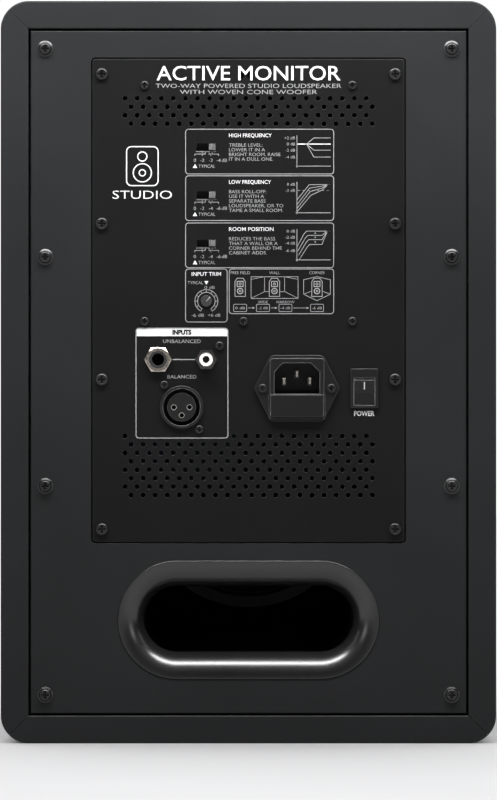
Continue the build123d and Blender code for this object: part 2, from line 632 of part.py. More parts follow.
def fuse_drawer():
    """A drawer below the pins: its front plate carries a tray with the fuse across it."""
    front = block(IEC_X - 14.3, IEC_X + 14.3, Y_PLATE + 1.0, Y_PLATE + 4.0, 175.6, 187.7)
    front = fillet(front.edges().group_by(Axis.Y)[-1].group_by(Axis.Z)[0], 0.4)
    tray = block(IEC_X - 11.7, IEC_X + 11.7, 128.6, Y_PLATE + 1.0, 177.9, 185.5)
    tray -= block(IEC_X - 10.3, IEC_X + 10.3, 130.0, 136.2, 179.3, 186)
    return front + tray


def fuse():
    """A 5 x 20 mm cartridge fuse: a glass tube between two caps, as one body lying along X."""
    axis_y, axis_z = 133.1, 182.2
    body = Rot(0, 90, 0) * Cylinder(2.35, 20.0)
    for side in (-1, 1):
        body += Pos(side * 7.4, 0, 0) * Rot(0, 90, 0) * Cylinder(2.6, 5.2)
    return Pos(IEC_X, axis_y, axis_z) * body


def power_switch_body():
    bezel = slab(Pos(ROCKER_X, BEZEL_Z) * RectangleRounded(15.0, 21.4, 0.8), Y_PLATE, Y_PLATE + 2.0)
    bezel = fillet(bezel.edges().group_by(Axis.Y)[-1], 0.5)
    body = bezel + block(ROCKER_X - 6.8, ROCKER_X + 6.8, 122.0, Y_PLATE, BEZEL_Z - 9.7, BEZEL_Z + 9.7)
    x0, x1 = ROCKER_X - 5.75, ROCKER_X + 5.75
    body -= block(x0, x1, Y_ROCKER - 9, Y_PLATE + 3, ROCKER_Z - 7.35, ROCKER_Z + 7.35)
    body -= Pos(ROCKER_X, Y_ROCKER, ROCKER_Z) * Rot(0, 90, 0) * Cylinder(1.3, 13.0)
    for x, z in SWITCH_TABS:
        body -= block(x - 0.4, x + 0.4, 121, 124, z - 2.4, z + 2.4)
    return body


def power_rocker():
    """A rocker with a shallow V across its face, tilted to its off position: the top end stands out."""
    end_r, end_y, valley, depth = 7.2, 2.4, 1.3, -3.0
    end_z = math.sqrt(end_r ** 2 - end_y ** 2)
    heel_z = math.sqrt(end_r ** 2 - depth ** 2)
    lines = [
        Line((valley, 0), (end_y, end_z)),
        ThreePointArc((end_y, end_z), (0, end_r), (depth, heel_z)),
        Line((depth, heel_z), (depth, -heel_z)),
        ThreePointArc((depth, -heel_z), (0, -end_r), (end_y, -end_z)),
        Line((end_y, -end_z), (valley, 0)),
    ]
    rocker = extrude(Plane.YZ * make_face(lines), 5.45, both=True)
    rocker += Rot(0, 90, 0) * Cylinder(1.2, 13.0)
    return Pos(ROCKER_X, Y_ROCKER, ROCKER_Z) * Rot(-ROCKER_TILT, 0, 0) * rocker


# ---- woofer ----

def cone_y(r):
    """The front of the cone: steep at the neck and flatter towards the rim."""
    return Y_NECK - 1.07 * (r - NECK_R) + 0.003 * (r - NECK_R) ** 2


def woofer_basket():
    """A cast frame: flange, six spokes, spider ledge and the hub that carries the motor."""
    hub_y = Y_TOP_PLATE
    profile = [
        (WOOFER_R, Y_FLANGE), (92.0, Y_FLANGE), (92.0, -136.0), (70.0, -86.0), (62.0, -86.0), (62.0, -80.0),
        (58.0, hub_y - 8), (27.5, hub_y - 8), (27.5, hub_y), (62.0, hub_y), (68.0, -80.0), (74.0, -86.5),
        (96.0, -137.0), (96.0, Y_FRONT + 4), (WOOFER_R, Y_FRONT + 4),
    ]
    basket = turned(profile)
    for i in range(6):
        window = block(-27, 27, -131.0, -92.0, 40, 110)
        basket -= Rot(0, 60 * i, 0) * window
    basket = Pos(0, 0, WOOFER_Z) * basket
    for x, z in WOOFER_SCREWS:
        basket -= rod(2.1, Y_FLANGE - 1, Y_FRONT + 5, x, z)
    return basket + block(80.0, 90.0, Y_TERMINAL - 8, Y_TERMINAL, WOOFER_Z - 9, WOOFER_Z + 9)


def woofer_surround():
    """A half roll of rubber between two flat lips."""
    middle, roll, skin = 88.5, 4.9, 0.8
    y = Y_FLANGE
    annulus = Pos(middle, y) * (Circle(roll) - Circle(roll - skin))
    half = annulus & Pos(middle, y - roll) * Rectangle(3 * roll, 2 * roll)
    outer = Pos(middle + roll + 2, y - skin / 2) * Rectangle(4.8, skin)
    inner = Pos(middle - roll - 1.9, y - skin / 2) * Rectangle(5.4, skin)
    return Pos(0, 0, WOOFER_Z) * revolve(half + outer + inner, Axis.Y)


def woofer_cone():
    return Pos(0, 0, WOOFER_Z) * turned_skin(cone_y, NECK_R, CONE_R, 1.0)


def woofer_dust_cap():
    edge = 33.0
    y_edge = cone_y(edge) - 0.9

    def cap_y(r):
        return y_edge - 9.0 * (1 - (r / edge) ** 2)

    return Pos(0, 0, WOOFER_Z) * turned_skin(cap_y, 0.0, edge, 0.8)


def woofer_voice_coil():
    """The former glued into the cone's neck, and the winding around its rear end."""
    profile = [(FORMER_R - 0.4, -93.0), (FORMER_R, -93.0), (FORMER_R, -70.0), (26.1, -70.0), (26.1, -54.0),
               (FORMER_R - 0.4, -54.0)]
    return turned(profile, 0, WOOFER_Z)


def woofer_spider():
    """A corrugated cloth disc that centres the coil, glued to the ledge in the basket."""
    def wave_y(r):
        inner, outer = 30.0, 61.0
        if r < inner or r > outer:
            return Y_SPIDER
        return Y_SPIDER - 1.4 * math.sin(2 * math.pi * 4 * (r - inner) / (outer - inner))

    return Pos(0, 0, WOOFER_Z) * turned_skin(wave_y, FORMER_R + 0.05, 69.0, 0.3, steps=44)


def woofer_top_plate():
    return tube(50.0, 26.7, Y_TOP_PLATE, Y_TOP_PLATE + 8, 0, WOOFER_Z)


def woofer_magnet():
    ring = tube(55.0, 31.0, Y_TOP_PLATE + 8, Y_TOP_PLATE + 26, 0, WOOFER_Z)
    return chamfer(ring.edges().filter_by(GeomType.CIRCLE).filter_by(lambda e: e.radius > 50), 1.5)


def woofer_yoke():
    """The back plate and the pole piece with its vent."""
    y0 = Y_TOP_PLATE + 26
    yoke = rod(52.0, y0, y0 + 8, 0, WOOFER_Z) + rod(POLE_R, Y_TOP_PLATE, y0, 0, WOOFER_Z)
    return yoke - rod(7.5, Y_TOP_PLATE - 1, y0 + 9, 0, WOOFER_Z)


def driver_screws():
    woofer = [screw(3.6, 2.2, 1.8, 15.0, x, Y_FLANGE, z, front=True) for x, z in WOOFER_SCREWS]
    y_lip = Y_FRONT - WAVEGUIDE_LIP
    tweeter = [screw(3.0, 1.9, 1.6, 16.0, x, y_lip, z, front=True) for x, z in TWEETER_SCREWS]
    return group(woofer + tweeter)


# ---- tweeter ----

def horn_section(depth, half_width, half_height, grow=0.0):
    y = Y_FRONT - WAVEGUIDE_LIP + depth
    return Plane.XZ.offset(-y) * (Pos(0, TWEETER_Z) * Ellipse(half_width + grow, half_height + grow))


def tweeter_waveguide():
    """A moulded plate whose elliptical horn narrows to the dome."""
    face = Y_FRONT - WAVEGUIDE_LIP
    outline = Pos(0, TWEETER_Z) * RectangleRounded(WAVEGUIDE_WIDTH, WAVEGUIDE_HEIGHT, 22.0)
    plate = slab(outline, face, Y_FRONT + 4)
    plate = fillet(plate.edges().group_by(Axis.Y)[0], 1.6)
    back = loft([horn_section(6.5, 76.0, 49.5), horn_section(24.5, 36.0, 35.9)])
    guide = plate + back - loft([horn_section(*s) for s in HORN])
    for x, z in TWEETER_SCREWS:
        guide -= rod(1.8, face - 1, Y_FRONT + 5, x, z)
    return guide


def tweeter_motor():
    """The face plate, ring magnet and yoke, glued together."""
    y = Y_BAFFLE
    plate = tube(36.0, 13.3, y, y + 4, 0, TWEETER_Z) - rod(17.2, y - 1, y + 0.6, 0, TWEETER_Z)
    magnet = tube(35.0, 19.0, y + 4, y + 14, 0, TWEETER_Z)
    yoke = rod(34.0, y + 14, y + 19, 0, TWEETER_Z) + rod(11.9, y + 0.8, y + 14, 0, TWEETER_Z)
    return group([plate, magnet, yoke])


def tweeter_dome():
    """The soft dome with its voice coil former."""
    def dome_y(r):
        return Y_BAFFLE - 5.0 * (1 - (r / DOME_R) ** 2)

    cap = turned_skin(dome_y, 0.0, DOME_R, 0.4)
    former = rod(DOME_R + 0.25, Y_BAFFLE, Y_BAFFLE + 9, 0, 0)
    former -= rod(DOME_R - 0.1, Y_BAFFLE - 1, Y_BAFFLE + 10, 0, 0)
    return Pos(0, 0, TWEETER_Z) * (cap + former)


def tweeter_surround():
    """A small half roll around the dome, its outer lip clamped behind the waveguide."""
    inner, middle, outer = DOME_R + 0.3, 13.55, 17.0
    y = Y_BAFFLE
    roll = Pos(middle, y + 0.3) * (Circle(0.85) - Circle(0.5))
    roll = roll & Pos(middle, y - 0.7) * Rectangle(3, 2)
    lip = Pos((middle + 0.6 + outer) / 2, y + 0.3) * Rectangle(outer - middle - 0.6, 0.5)
    return Pos(0, 0, TWEETER_Z) * revolve(roll + lip, Axis.Y)


def led_window():
    lens = rod(2.45, Y_FRONT - 0.6, Y_FRONT + 7, 0, LED_Z)
    return fillet(lens.edges().group_by(Axis.Y)[0], 0.5)


# ---- soft and loose pieces ----

def lead(points):
    """A two-core lead of 4 mm, clipped along straight runs joined by tangent arcs."""
    points = [Vector(*p) for p in points]
    radii = []
    for a, b, c in zip(points, points[1:], points[2:]):
        turn = (b - a).get_angle(c - b)
        radii.append(0.45 * min((b - a).length, (c - b).length) / math.tan(math.radians(turn / 2)))
    path = FilletPolyline(*points, radius=radii)
    return sweep(Plane(origin=path @ 0, z_dir=path % 0) * Circle(2.0), path)


def driver_leads():
    to_woofer = [
        (60, Y_TUB, 215), (60, 32, 215), (63, 6, 206), (69, -18, 188), (77, -42, 163), (83, -62, 142),
        (85, -80, WOOFER_Z), (85, Y_TERMINAL, WOOFER_Z),
    ]
    to_tweeter = [
        (40, Y_TUB, 320), (40, 34, 320), (37, 8, 323), (31, -20, 321), (25, -48, 316), (21, -74, 314),
        (21, Y_BAFFLE + 19, 314),
    ]
    return group([lead(to_woofer), lead(to_tweeter)])


def damping_foam():
    """Foam pads on the two sides and the top of the cabinet."""
    side = block(INNER_X - 20, INNER_X, -100, 105, 40, 360)
    top = block(-94, 94, -100, 105, INNER_TOP - 20, INNER_TOP)
    return group([side, mirror(side, Plane.YZ), top])


PARTS = {
    "cabinet_top": lambda: cabinet_board(0),
    "cabinet_bottom": lambda: cabinet_board(180),
    "cabinet_left": lambda: cabinet_board(270),
    "cabinet_right": lambda: cabinet_board(90),
    "front_baffle": front_baffle,
    "rear_panel": rear_panel,
    "rear_battens": rear_battens,
    "rear_panel_screws": rear_panel_screws,
    "port_tube": port_tube,
    "port_inner_flare": port_inner_flare,
    "amp_plate": amp_plate,
    "amp_plate_screws": amp_plate_screws,
    "amp_gasket": amp_gasket,
    "amp_housing": amp_housing,
    "heat_sink": heat_sink,
    "power_transistors": power_transistors,
    "power_pcb": power_pcb,
    "pcb_capacitors": pcb_capacitors,
    "transformer_core": transformer_core,
    "transformer_winding": transformer_winding,
    "transformer_clamp": transformer_clamp,
    "control_pcb": control_pcb,
    "input_pcb": input_pcb,
    "slide_switch_bodies": slide_switch_bodies,
    "hf_switch_lever": lambda: switch_lever(SWITCH_Z["hf"]),
    "lf_switch_lever": lambda: switch_lever(SWITCH_Z["lf"]),
    "room_switch_lever": lambda: switch_lever(SWITCH_Z["room"]),
    "trim_pot_body": trim_pot_body,
    "trim_knob": trim_knob,
    "xlr_shell": xlr_shell,
    "xlr_insert": xlr_insert,
    "signal_contacts": signal_contacts,
    "small_screws": small_screws,
    "jack_block": jack_block,
    "jack_nut": jack_nut,
    "rca_barrel": rca_barrel,
    "rca_insulator": rca_insulator,
    "iec_inlet_body": iec_inlet_body,
    "mains_contacts": mains_contacts,
    "fuse_drawer": fuse_drawer,
    "fuse": fuse,
    "power_switch_body": power_switch_body,
    "power_rocker": power_rocker,
    "woofer_basket": woofer_basket,
    "woofer_surround": woofer_surround,
    "woofer_cone": woofer_cone,
    "woofer_dust_cap": woofer_dust_cap,
    "woofer_voice_coil": woofer_voice_coil,
    "woofer_spider": woofer_spider,
    "woofer_top_plate": woofer_top_plate,
    "woofer_magnet": woofer_magnet,
    "woofer_yoke": woofer_yoke,
    "driver_screws": driver_screws,
    "tweeter_waveguide": tweeter_waveguide,
    "tweeter_motor": tweeter_motor,
    "tweeter_dome": tweeter_dome,
    "tweeter_surround": tweeter_surround,
    "led_window": led_window,
    "driver_leads": driver_leads,
    "damping_foam": damping_foam,
}

for name, make in PARTS.items():
    export_step(make(), f"parts/{name}.step")
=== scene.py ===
import json
import math

import bmesh
import bpy
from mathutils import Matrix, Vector

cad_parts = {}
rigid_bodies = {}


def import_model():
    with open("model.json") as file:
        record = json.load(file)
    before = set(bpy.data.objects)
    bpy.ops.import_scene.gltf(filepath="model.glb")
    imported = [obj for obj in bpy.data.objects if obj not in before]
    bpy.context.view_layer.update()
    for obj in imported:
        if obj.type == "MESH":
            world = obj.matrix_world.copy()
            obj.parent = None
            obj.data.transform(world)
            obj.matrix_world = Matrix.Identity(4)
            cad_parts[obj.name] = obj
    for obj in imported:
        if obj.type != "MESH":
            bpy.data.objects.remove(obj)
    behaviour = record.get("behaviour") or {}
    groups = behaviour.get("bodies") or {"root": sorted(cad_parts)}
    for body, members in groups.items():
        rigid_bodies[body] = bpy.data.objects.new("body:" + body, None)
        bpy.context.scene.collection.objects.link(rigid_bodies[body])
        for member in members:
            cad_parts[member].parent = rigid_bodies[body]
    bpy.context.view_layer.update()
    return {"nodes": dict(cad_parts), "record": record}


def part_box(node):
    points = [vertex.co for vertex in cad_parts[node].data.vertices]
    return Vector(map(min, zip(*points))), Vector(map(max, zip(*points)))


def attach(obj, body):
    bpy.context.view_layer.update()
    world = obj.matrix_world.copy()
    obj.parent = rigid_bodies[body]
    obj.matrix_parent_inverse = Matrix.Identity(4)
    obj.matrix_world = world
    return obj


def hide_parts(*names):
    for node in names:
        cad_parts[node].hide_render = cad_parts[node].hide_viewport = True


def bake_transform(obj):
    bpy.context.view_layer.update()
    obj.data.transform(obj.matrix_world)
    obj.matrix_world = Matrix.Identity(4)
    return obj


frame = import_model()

MM = 0.001
NODES = frame["nodes"]

# The printed plate is laid out as it is read from behind: u to the right, z up, both in millimetres.
PLATE_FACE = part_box("amp_plate")[1].y
INK = 0.04 * MM

# How far the trim knob's pointer stands from straight up at rest, in degrees.
TRIM_POINTER = 42.0


def mid(node):
    low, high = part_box(node)
    return (low + high) / 2


# ---- camera, light and floor ----

FRAME_HEIGHT = 0.4310
CAMERA_DISTANCE = 3.2
CAMERA_Z = 0.1850
FLOOR_SIDE = 12.0


def make_camera():
    """A long lens looking squarely at the rear face, level with the middle of the picture."""
    data = bpy.data.cameras.new("camera")
    data.sensor_width = 36.0
    data.lens = data.sensor_width * CAMERA_DISTANCE / FRAME_HEIGHT
    data.clip_end = 50.0
    camera = bpy.data.objects.new("camera", data)
    camera.location = (0.0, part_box("rear_panel")[1].y + CAMERA_DISTANCE, CAMERA_Z)
    camera.rotation_euler = (math.radians(90), 0.0, math.radians(180))
    bpy.context.scene.collection.objects.link(camera)
    bpy.context.scene.camera = camera


def area_light(name, location, target, width, height, power, only, glossy=True):
    """A soft panel of light. only is the set of objects that it lights."""
    data = bpy.data.lights.new(name, "AREA")
    data.shape = "RECTANGLE"
    data.size = width
    data.size_y = height
    data.energy = power
    light = bpy.data.objects.new(name, data)
    light.location = location
    light.rotation_euler = (Vector(target) - Vector(location)).to_track_quat("-Z", "Y").to_euler()
    light.visible_camera = False
    light.visible_glossy = glossy
    light.light_linking.receiver_collection = only
    bpy.context.scene.collection.objects.link(light)


def light_set(name, objects):
    members = bpy.data.collections.new(name)
    for obj in objects:
        members.objects.link(obj)
    return members


def make_lights(floor):
    """The panels that light the object leave the floor alone, and one wide panel lights the floor."""
    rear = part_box("rear_panel")[1].y
    pieces = [o for o in bpy.context.scene.objects if o is not floor and o.type == "MESH"]
    object_set = light_set("object_only", pieces)
    floor_set = light_set("floor_only", [floor])
    area_light("key_above_rear", (0.0, rear + 0.26, 0.72), (0.0, rear, 0.25), 0.90, 0.16, 14.0, object_set)
    for side in (-1, 1):
        area_light("rear_fill", (side * 2.6, 2.2, 0.7), (0.0, rear, 0.2), 0.8, 0.8, 6.5, object_set)
    area_light("front_softbox", (0.7, -1.7, 1.3), (0.0, -0.1, 0.2), 1.3, 1.0, 34.0, object_set)
    for side in (-1, 1):
        area_light("side_softbox", (side * 1.7, -0.2, 1.1), (0.0, 0.0, 0.2), 1.0, 1.0, 16.0, object_set)
    area_light("floor_panel", (0.0, -4.0, 3.0), (0.0, -4.0, 0.0), 24.0, 24.0, 2400.0, floor_set, glossy=False)


def make_world():
    """A white studio to look at, whose light on the object falls off from overhead to the horizon."""
    world = bpy.data.worlds.new("studio")
    world.use_nodes = True
    nodes, links = world.node_tree.nodes, world.node_tree.links
    direction = nodes.new("ShaderNodeTexCoord")
    split = nodes.new("ShaderNodeSeparateXYZ")
    links.new(direction.outputs["Generated"], split.inputs["Vector"])
    stops = [(0.0, grey(0.012)), (0.35, grey(0.05)), (1.0, grey(0.30))]
    shade = ramp(nodes, links, split.outputs["Z"], stops)
    dim = nodes.new("ShaderNodeBackground")
    links.new(shade, dim.inputs["Color"])
    white = nodes.new("ShaderNodeBackground")
    seen = nodes.new("ShaderNodeLightPath")
    mix = nodes.new("ShaderNodeMixShader")
    links.new(seen.outputs["Is Camera Ray"], mix.inputs["Fac"])
    links.new(dim.outputs["Background"], mix.inputs[1])
    links.new(white.outputs["Background"], mix.inputs[2])
    white.inputs["Color"].default_value = (1.0, 1.0, 1.0, 1.0)
    links.new(mix.outputs["Shader"], nodes["World Output"].inputs["Surface"])
    bpy.context.scene.world = world
    bpy.context.scene.view_settings.view_transform = "Standard"


def make_floor():
    """A pale, faintly glossy floor that the object stands on."""
    mesh = bpy.data.meshes.new("floor")
    half = FLOOR_SIDE / 2
    corners = [(-half, -half, 0), (half, -half, 0), (half, half, 0), (-half, half, 0)]
    mesh.from_pydata(corners, [], [(0, 1, 2, 3)])
    floor = bpy.data.objects.new("floor", mesh)
    bpy.context.scene.collection.objects.link(floor)
    material, nodes, links, shader = new_material("floor_white")
    cloud = noise(nodes, links, coordinates(nodes, links), 3.0)
    links.new(ramp(nodes, links, cloud, [(0.3, grey(0.80)), (0.7, grey(0.83))]), shader.inputs["Base Color"])
    links.new(scaled(nodes, links, cloud, 0.35, 0.4), shader.inputs["Roughness"])
    shader.inputs["Specular IOR Level"].default_value = 0.1
    mesh.materials.append(material)
    return floor


# ---- materials ----

def new_material(name):
    material = bpy.data.materials.new(name)
    material.use_nodes = True
    nodes, links = material.node_tree.nodes, material.node_tree.links
    return material, nodes, links, nodes["Principled BSDF"]


def coordinates(nodes, links, scale=(1.0, 1.0, 1.0)):
    """Object coordinates, which are the frame's metres, stretched by scale."""
    place = nodes.new("ShaderNodeTexCoord")
    mapping = nodes.new("ShaderNodeMapping")
    mapping.inputs["Scale"].default_value = scale
    links.new(place.outputs["Object"], mapping.inputs["Vector"])
    return mapping.outputs["Vector"]


def noise(nodes, links, vector, scale, detail=3.0):
    texture = nodes.new("ShaderNodeTexNoise")
    texture.inputs["Scale"].default_value = scale
    texture.inputs["Detail"].default_value = detail
    links.new(vector, texture.inputs["Vector"])
    return texture.outputs["Fac"]


def ramp(nodes, links, value, stops):
    """A colour ramp from (place, colour) stops."""
    node = nodes.new("ShaderNodeValToRGB")
    elements = node.color_ramp.elements
    while len(elements) < len(stops):
        elements.new(0.5)
    for element, (place, colour) in zip(elements, stops):
        element.position = place
        element.color = (*colour, 1.0)
    links.new(value, node.inputs["Fac"])
    return node.outputs["Color"]


def scaled(nodes, links, value, low, high):
    """value, from 0..1 to low..high."""
    node = nodes.new("ShaderNodeMapRange")
    node.inputs["To Min"].default_value = low
    node.inputs["To Max"].default_value = high
    links.new(value, node.inputs["Value"])
    return node.outputs["Result"]


def bump(nodes, links, shader, height, distance, edge=0.0):
    """Relief from height, over edges that look rounded to the radius edge."""
    node = nodes.new("ShaderNodeBump")
    node.inputs["Distance"].default_value = distance
    links.new(height, node.inputs["Height"])
    if edge:
        rounded_edge = nodes.new("ShaderNodeBevel")
        rounded_edge.samples = 4
        rounded_edge.inputs["Radius"].default_value = edge
        links.new(rounded_edge.outputs["Normal"], node.inputs["Normal"])
    links.new(node.outputs["Normal"], shader.inputs["Normal"])


def maths(nodes, links, operation, a, b=None):
    node = nodes.new("ShaderNodeMath")
    node.operation = operation
    for socket, value in zip(node.inputs, (a, b)):
        if value is None:
            continue
        if isinstance(value, (int, float)):
            socket.default_value = value
        else:
            links.new(value, socket)
    return node.outputs["Value"]


def worn_edges(nodes, links, colour, level):
    """colour with a painted highlight: a lighter grey painted along the moulding's sharp edges, where they would
    catch the light.
    """
    near = nodes.new("ShaderNodeBevel")
    near.samples = 6
    near.inputs["Radius"].default_value = 0.45 * MM
    face = nodes.new("ShaderNodeNewGeometry")
    turn = nodes.new("ShaderNodeVectorMath")
    turn.operation = "DOT_PRODUCT"
    links.new(near.outputs["Normal"], turn.inputs[0])
    links.new(face.outputs["Normal"], turn.inputs[1])
    edge = nodes.new("ShaderNodeMapRange")
    edge.inputs["From Min"].default_value = 0.995
    edge.inputs["From Max"].default_value = 0.86
    links.new(turn.outputs["Value"], edge.inputs["Value"])
    mix = nodes.new("ShaderNodeMix")
    mix.data_type = "RGBA"
    links.new(edge.outputs["Result"], mix.inputs["Factor"])
    links.new(colour, mix.inputs["A"])
    mix.inputs["B"].default_value = (*grey(level), 1.0)
    return mix.outputs["Result"]


def dark_crevices(nodes, links, colour, reach):
    """colour with painted shade: fading to black inside recesses narrower than about reach."""
    open_air = nodes.new("ShaderNodeAmbientOcclusion")
    open_air.samples = 8
    open_air.only_local = True
    open_air.inputs["Distance"].default_value = reach
    depth = maths(nodes, links, "POWER", open_air.outputs["AO"], 4.0)
    mix = nodes.new("ShaderNodeMix")
    mix.data_type = "RGBA"
    links.new(depth, mix.inputs["Factor"])
    mix.inputs["A"].default_value = (*grey(0.001), 1.0)
    links.new(colour, mix.inputs["B"])
    return mix.outputs["Result"]


def blended(nodes, links, a, b, share):
    """a and b added in the shares 1 - share and share."""
    first = maths(nodes, links, "MULTIPLY", a, 1.0 - share)
    return maths(nodes, links, "ADD", first, maths(nodes, links, "MULTIPLY", b, share))


def grained(name, dark, light, rough, grain=900.0, depth=0.02, metallic=0.0, specular=0.5, edge=0.3,
            worn=0.0, crevice=0.0):
    """A painted or moulded surface: slow tone changes, and a fine grain in its bump and its gloss.
    depth is the grain's and edge is the rounding of sharp edges, both in millimetres."""
    material, nodes, links, shader = new_material(name)
    vector = coordinates(nodes, links)
    slow = noise(nodes, links, vector, 14.0, 4.0)
    fine = noise(nodes, links, vector, grain, 2.0)
    tone = blended(nodes, links, slow, fine, 0.4)
    colour = ramp(nodes, links, tone, [(0.35, dark), (0.65, light)])
    # Painted highlight: a lighter grey painted along sharp edges.
    if worn:
        colour = worn_edges(nodes, links, colour, worn)
    # Painted shade: colour darkened to black inside recesses.
    if crevice:
        colour = dark_crevices(nodes, links, colour, crevice)
    links.new(colour, shader.inputs["Base Color"])
    links.new(scaled(nodes, links, tone, rough[0], rough[1]), shader.inputs["Roughness"])
    shader.inputs["Metallic"].default_value = metallic
    shader.inputs["Specular IOR Level"].default_value = specular
    bump(nodes, links, shader, fine, depth * MM, edge * MM)
    return material


def grey(level):
    return (level, level, level * 1.01)


def tint(level):
    """The slightly cold black of the cabinet's paint."""
    return (level * 0.95, level, level * 1.06)


def brushed(name, colour, rough, stretch, scale=600.0):
    """Metal drawn or turned in one direction."""
    material, nodes, links, shader = new_material(name)
    vector = coordinates(nodes, links, stretch)
    lines = noise(nodes, links, vector, scale, 3.0)
    dark = tuple(c * 0.8 for c in colour)
    links.new(ramp(nodes, links, lines, [(0.3, dark), (0.7, colour)]), shader.inputs["Base Color"])
    links.new(scaled(nodes, links, lines, rough[0], rough[1]), shader.inputs["Roughness"])
    shader.inputs["Metallic"].default_value = 1.0
    bump(nodes, links, shader, lines, 0.004 * MM)
    return material


def woven(name, light, dark, pitch, rough=0.45, coat=0.0):
    """A plain weave of two thread directions across X and Z, pitch apart."""
    material, nodes, links, shader = new_material(name)
    place = nodes.new("ShaderNodeTexCoord")
    split = nodes.new("ShaderNodeSeparateXYZ")
    links.new(place.outputs["Object"], split.inputs["Vector"])
    turn = math.pi / pitch
    across = maths(nodes, links, "SINE", maths(nodes, links, "MULTIPLY", split.outputs["X"], turn))
    up = maths(nodes, links, "SINE", maths(nodes, links, "MULTIPLY", split.outputs["Z"], turn))
    over = maths(nodes, links, "MULTIPLY", across, up)
    warp = maths(nodes, links, "ABSOLUTE", across)
    weft = maths(nodes, links, "ABSOLUTE", up)
    choose = maths(nodes, links, "GREATER_THAN", over, 0.0)
    mix = nodes.new("ShaderNodeMix")
    links.new(choose, mix.inputs["Factor"])
    links.new(warp, mix.inputs["A"])
    links.new(weft, mix.inputs["B"])
    height = mix.outputs["Result"]
    fibre = noise(nodes, links, coordinates(nodes, links), 2500.0, 2.0)
    tone = blended(nodes, links, height, fibre, 0.25)
    links.new(ramp(nodes, links, tone, [(0.15, dark), (0.75, light)]), shader.inputs["Base Color"])
    links.new(scaled(nodes, links, tone, rough + 0.12, rough - 0.08), shader.inputs["Roughness"])
    shader.inputs["Coat Weight"].default_value = coat
    shader.inputs["Coat Roughness"].default_value = 0.25
    bump(nodes, links, shader, height, 0.12 * MM)
    return material


def flecked(name, base, fleck, rough, scale):
    """A board or a ferrite: a base tone with small cells of another."""
    material, nodes, links, shader = new_material(name)
    cells = nodes.new("ShaderNodeTexVoronoi")
    cells.inputs["Scale"].default_value = scale
    links.new(coordinates(nodes, links), cells.inputs["Vector"])
    reach = cells.outputs["Distance"]
    links.new(ramp(nodes, links, reach, [(0.1, fleck), (0.5, base)]), shader.inputs["Base Color"])
    links.new(scaled(nodes, links, reach, rough[0], rough[1]), shader.inputs["Roughness"])
    bump(nodes, links, shader, reach, 0.03 * MM)
    return material


def clear(name, colour, rough=0.05):
    """A tinted transparent moulding or glass."""
    material, nodes, links, shader = new_material(name)
    swirl = noise(nodes, links, coordinates(nodes, links), 300.0)
    dark = tuple(c * 0.85 for c in colour)
    links.new(ramp(nodes, links, swirl, [(0.3, dark), (0.7, colour)]), shader.inputs["Base Color"])
    links.new(scaled(nodes, links, swirl, rough, rough + 0.05), shader.inputs["Roughness"])
    shader.inputs["Transmission Weight"].default_value = 0.85
    shader.inputs["IOR"].default_value = 1.49
    return material


def grain_wood(name):
    """Very dark wood, its rings drawn out along Z."""
    material, nodes, links, shader = new_material(name)
    rings = nodes.new("ShaderNodeTexWave")
    rings.bands_direction = "X"
    rings.inputs["Scale"].default_value = 60.0
    rings.inputs["Distortion"].default_value = 4.0
    rings.inputs["Detail"].default_value = 3.0
    links.new(coordinates(nodes, links, (1.0, 1.0, 0.12)), rings.inputs["Vector"])
    dark, light = (0.010, 0.008, 0.007), (0.022, 0.018, 0.014)
    links.new(ramp(nodes, links, rings.outputs["Fac"], [(0.2, dark), (0.8, light)]), shader.inputs["Base Color"])
    links.new(scaled(nodes, links, rings.outputs["Fac"], 0.6, 0.8), shader.inputs["Roughness"])
    bump(nodes, links, shader, rings.outputs["Fac"], 0.05 * MM)
    return material


def two_tone_lead(name):
    """A figure-of-eight lead: one core red, the other black, side by side."""
    material, nodes, links, shader = new_material(name)
    strands = noise(nodes, links, coordinates(nodes, links, (1, 0.2, 1)), 420.0, 1.0)
    colour = ramp(nodes, links, strands, [(0.47, (0.30, 0.02, 0.015)), (0.53, (0.015, 0.015, 0.016))])
    links.new(colour, shader.inputs["Base Color"])
    links.new(scaled(nodes, links, strands, 0.35, 0.5), shader.inputs["Roughness"])
    bump(nodes, links, shader, strands, 0.05 * MM)
    return material


# Grain, relief and gloss that several finishes share.
PAINT = {"grain": 1400.0, "depth": 0.03, "specular": 0.19}
CONNECTOR = {"grain": 2600.0, "depth": 0.01, "specular": 0.25, "edge": 0.25}
FILM = {"grain": 2500.0, "depth": 0.004, "edge": 0.0}


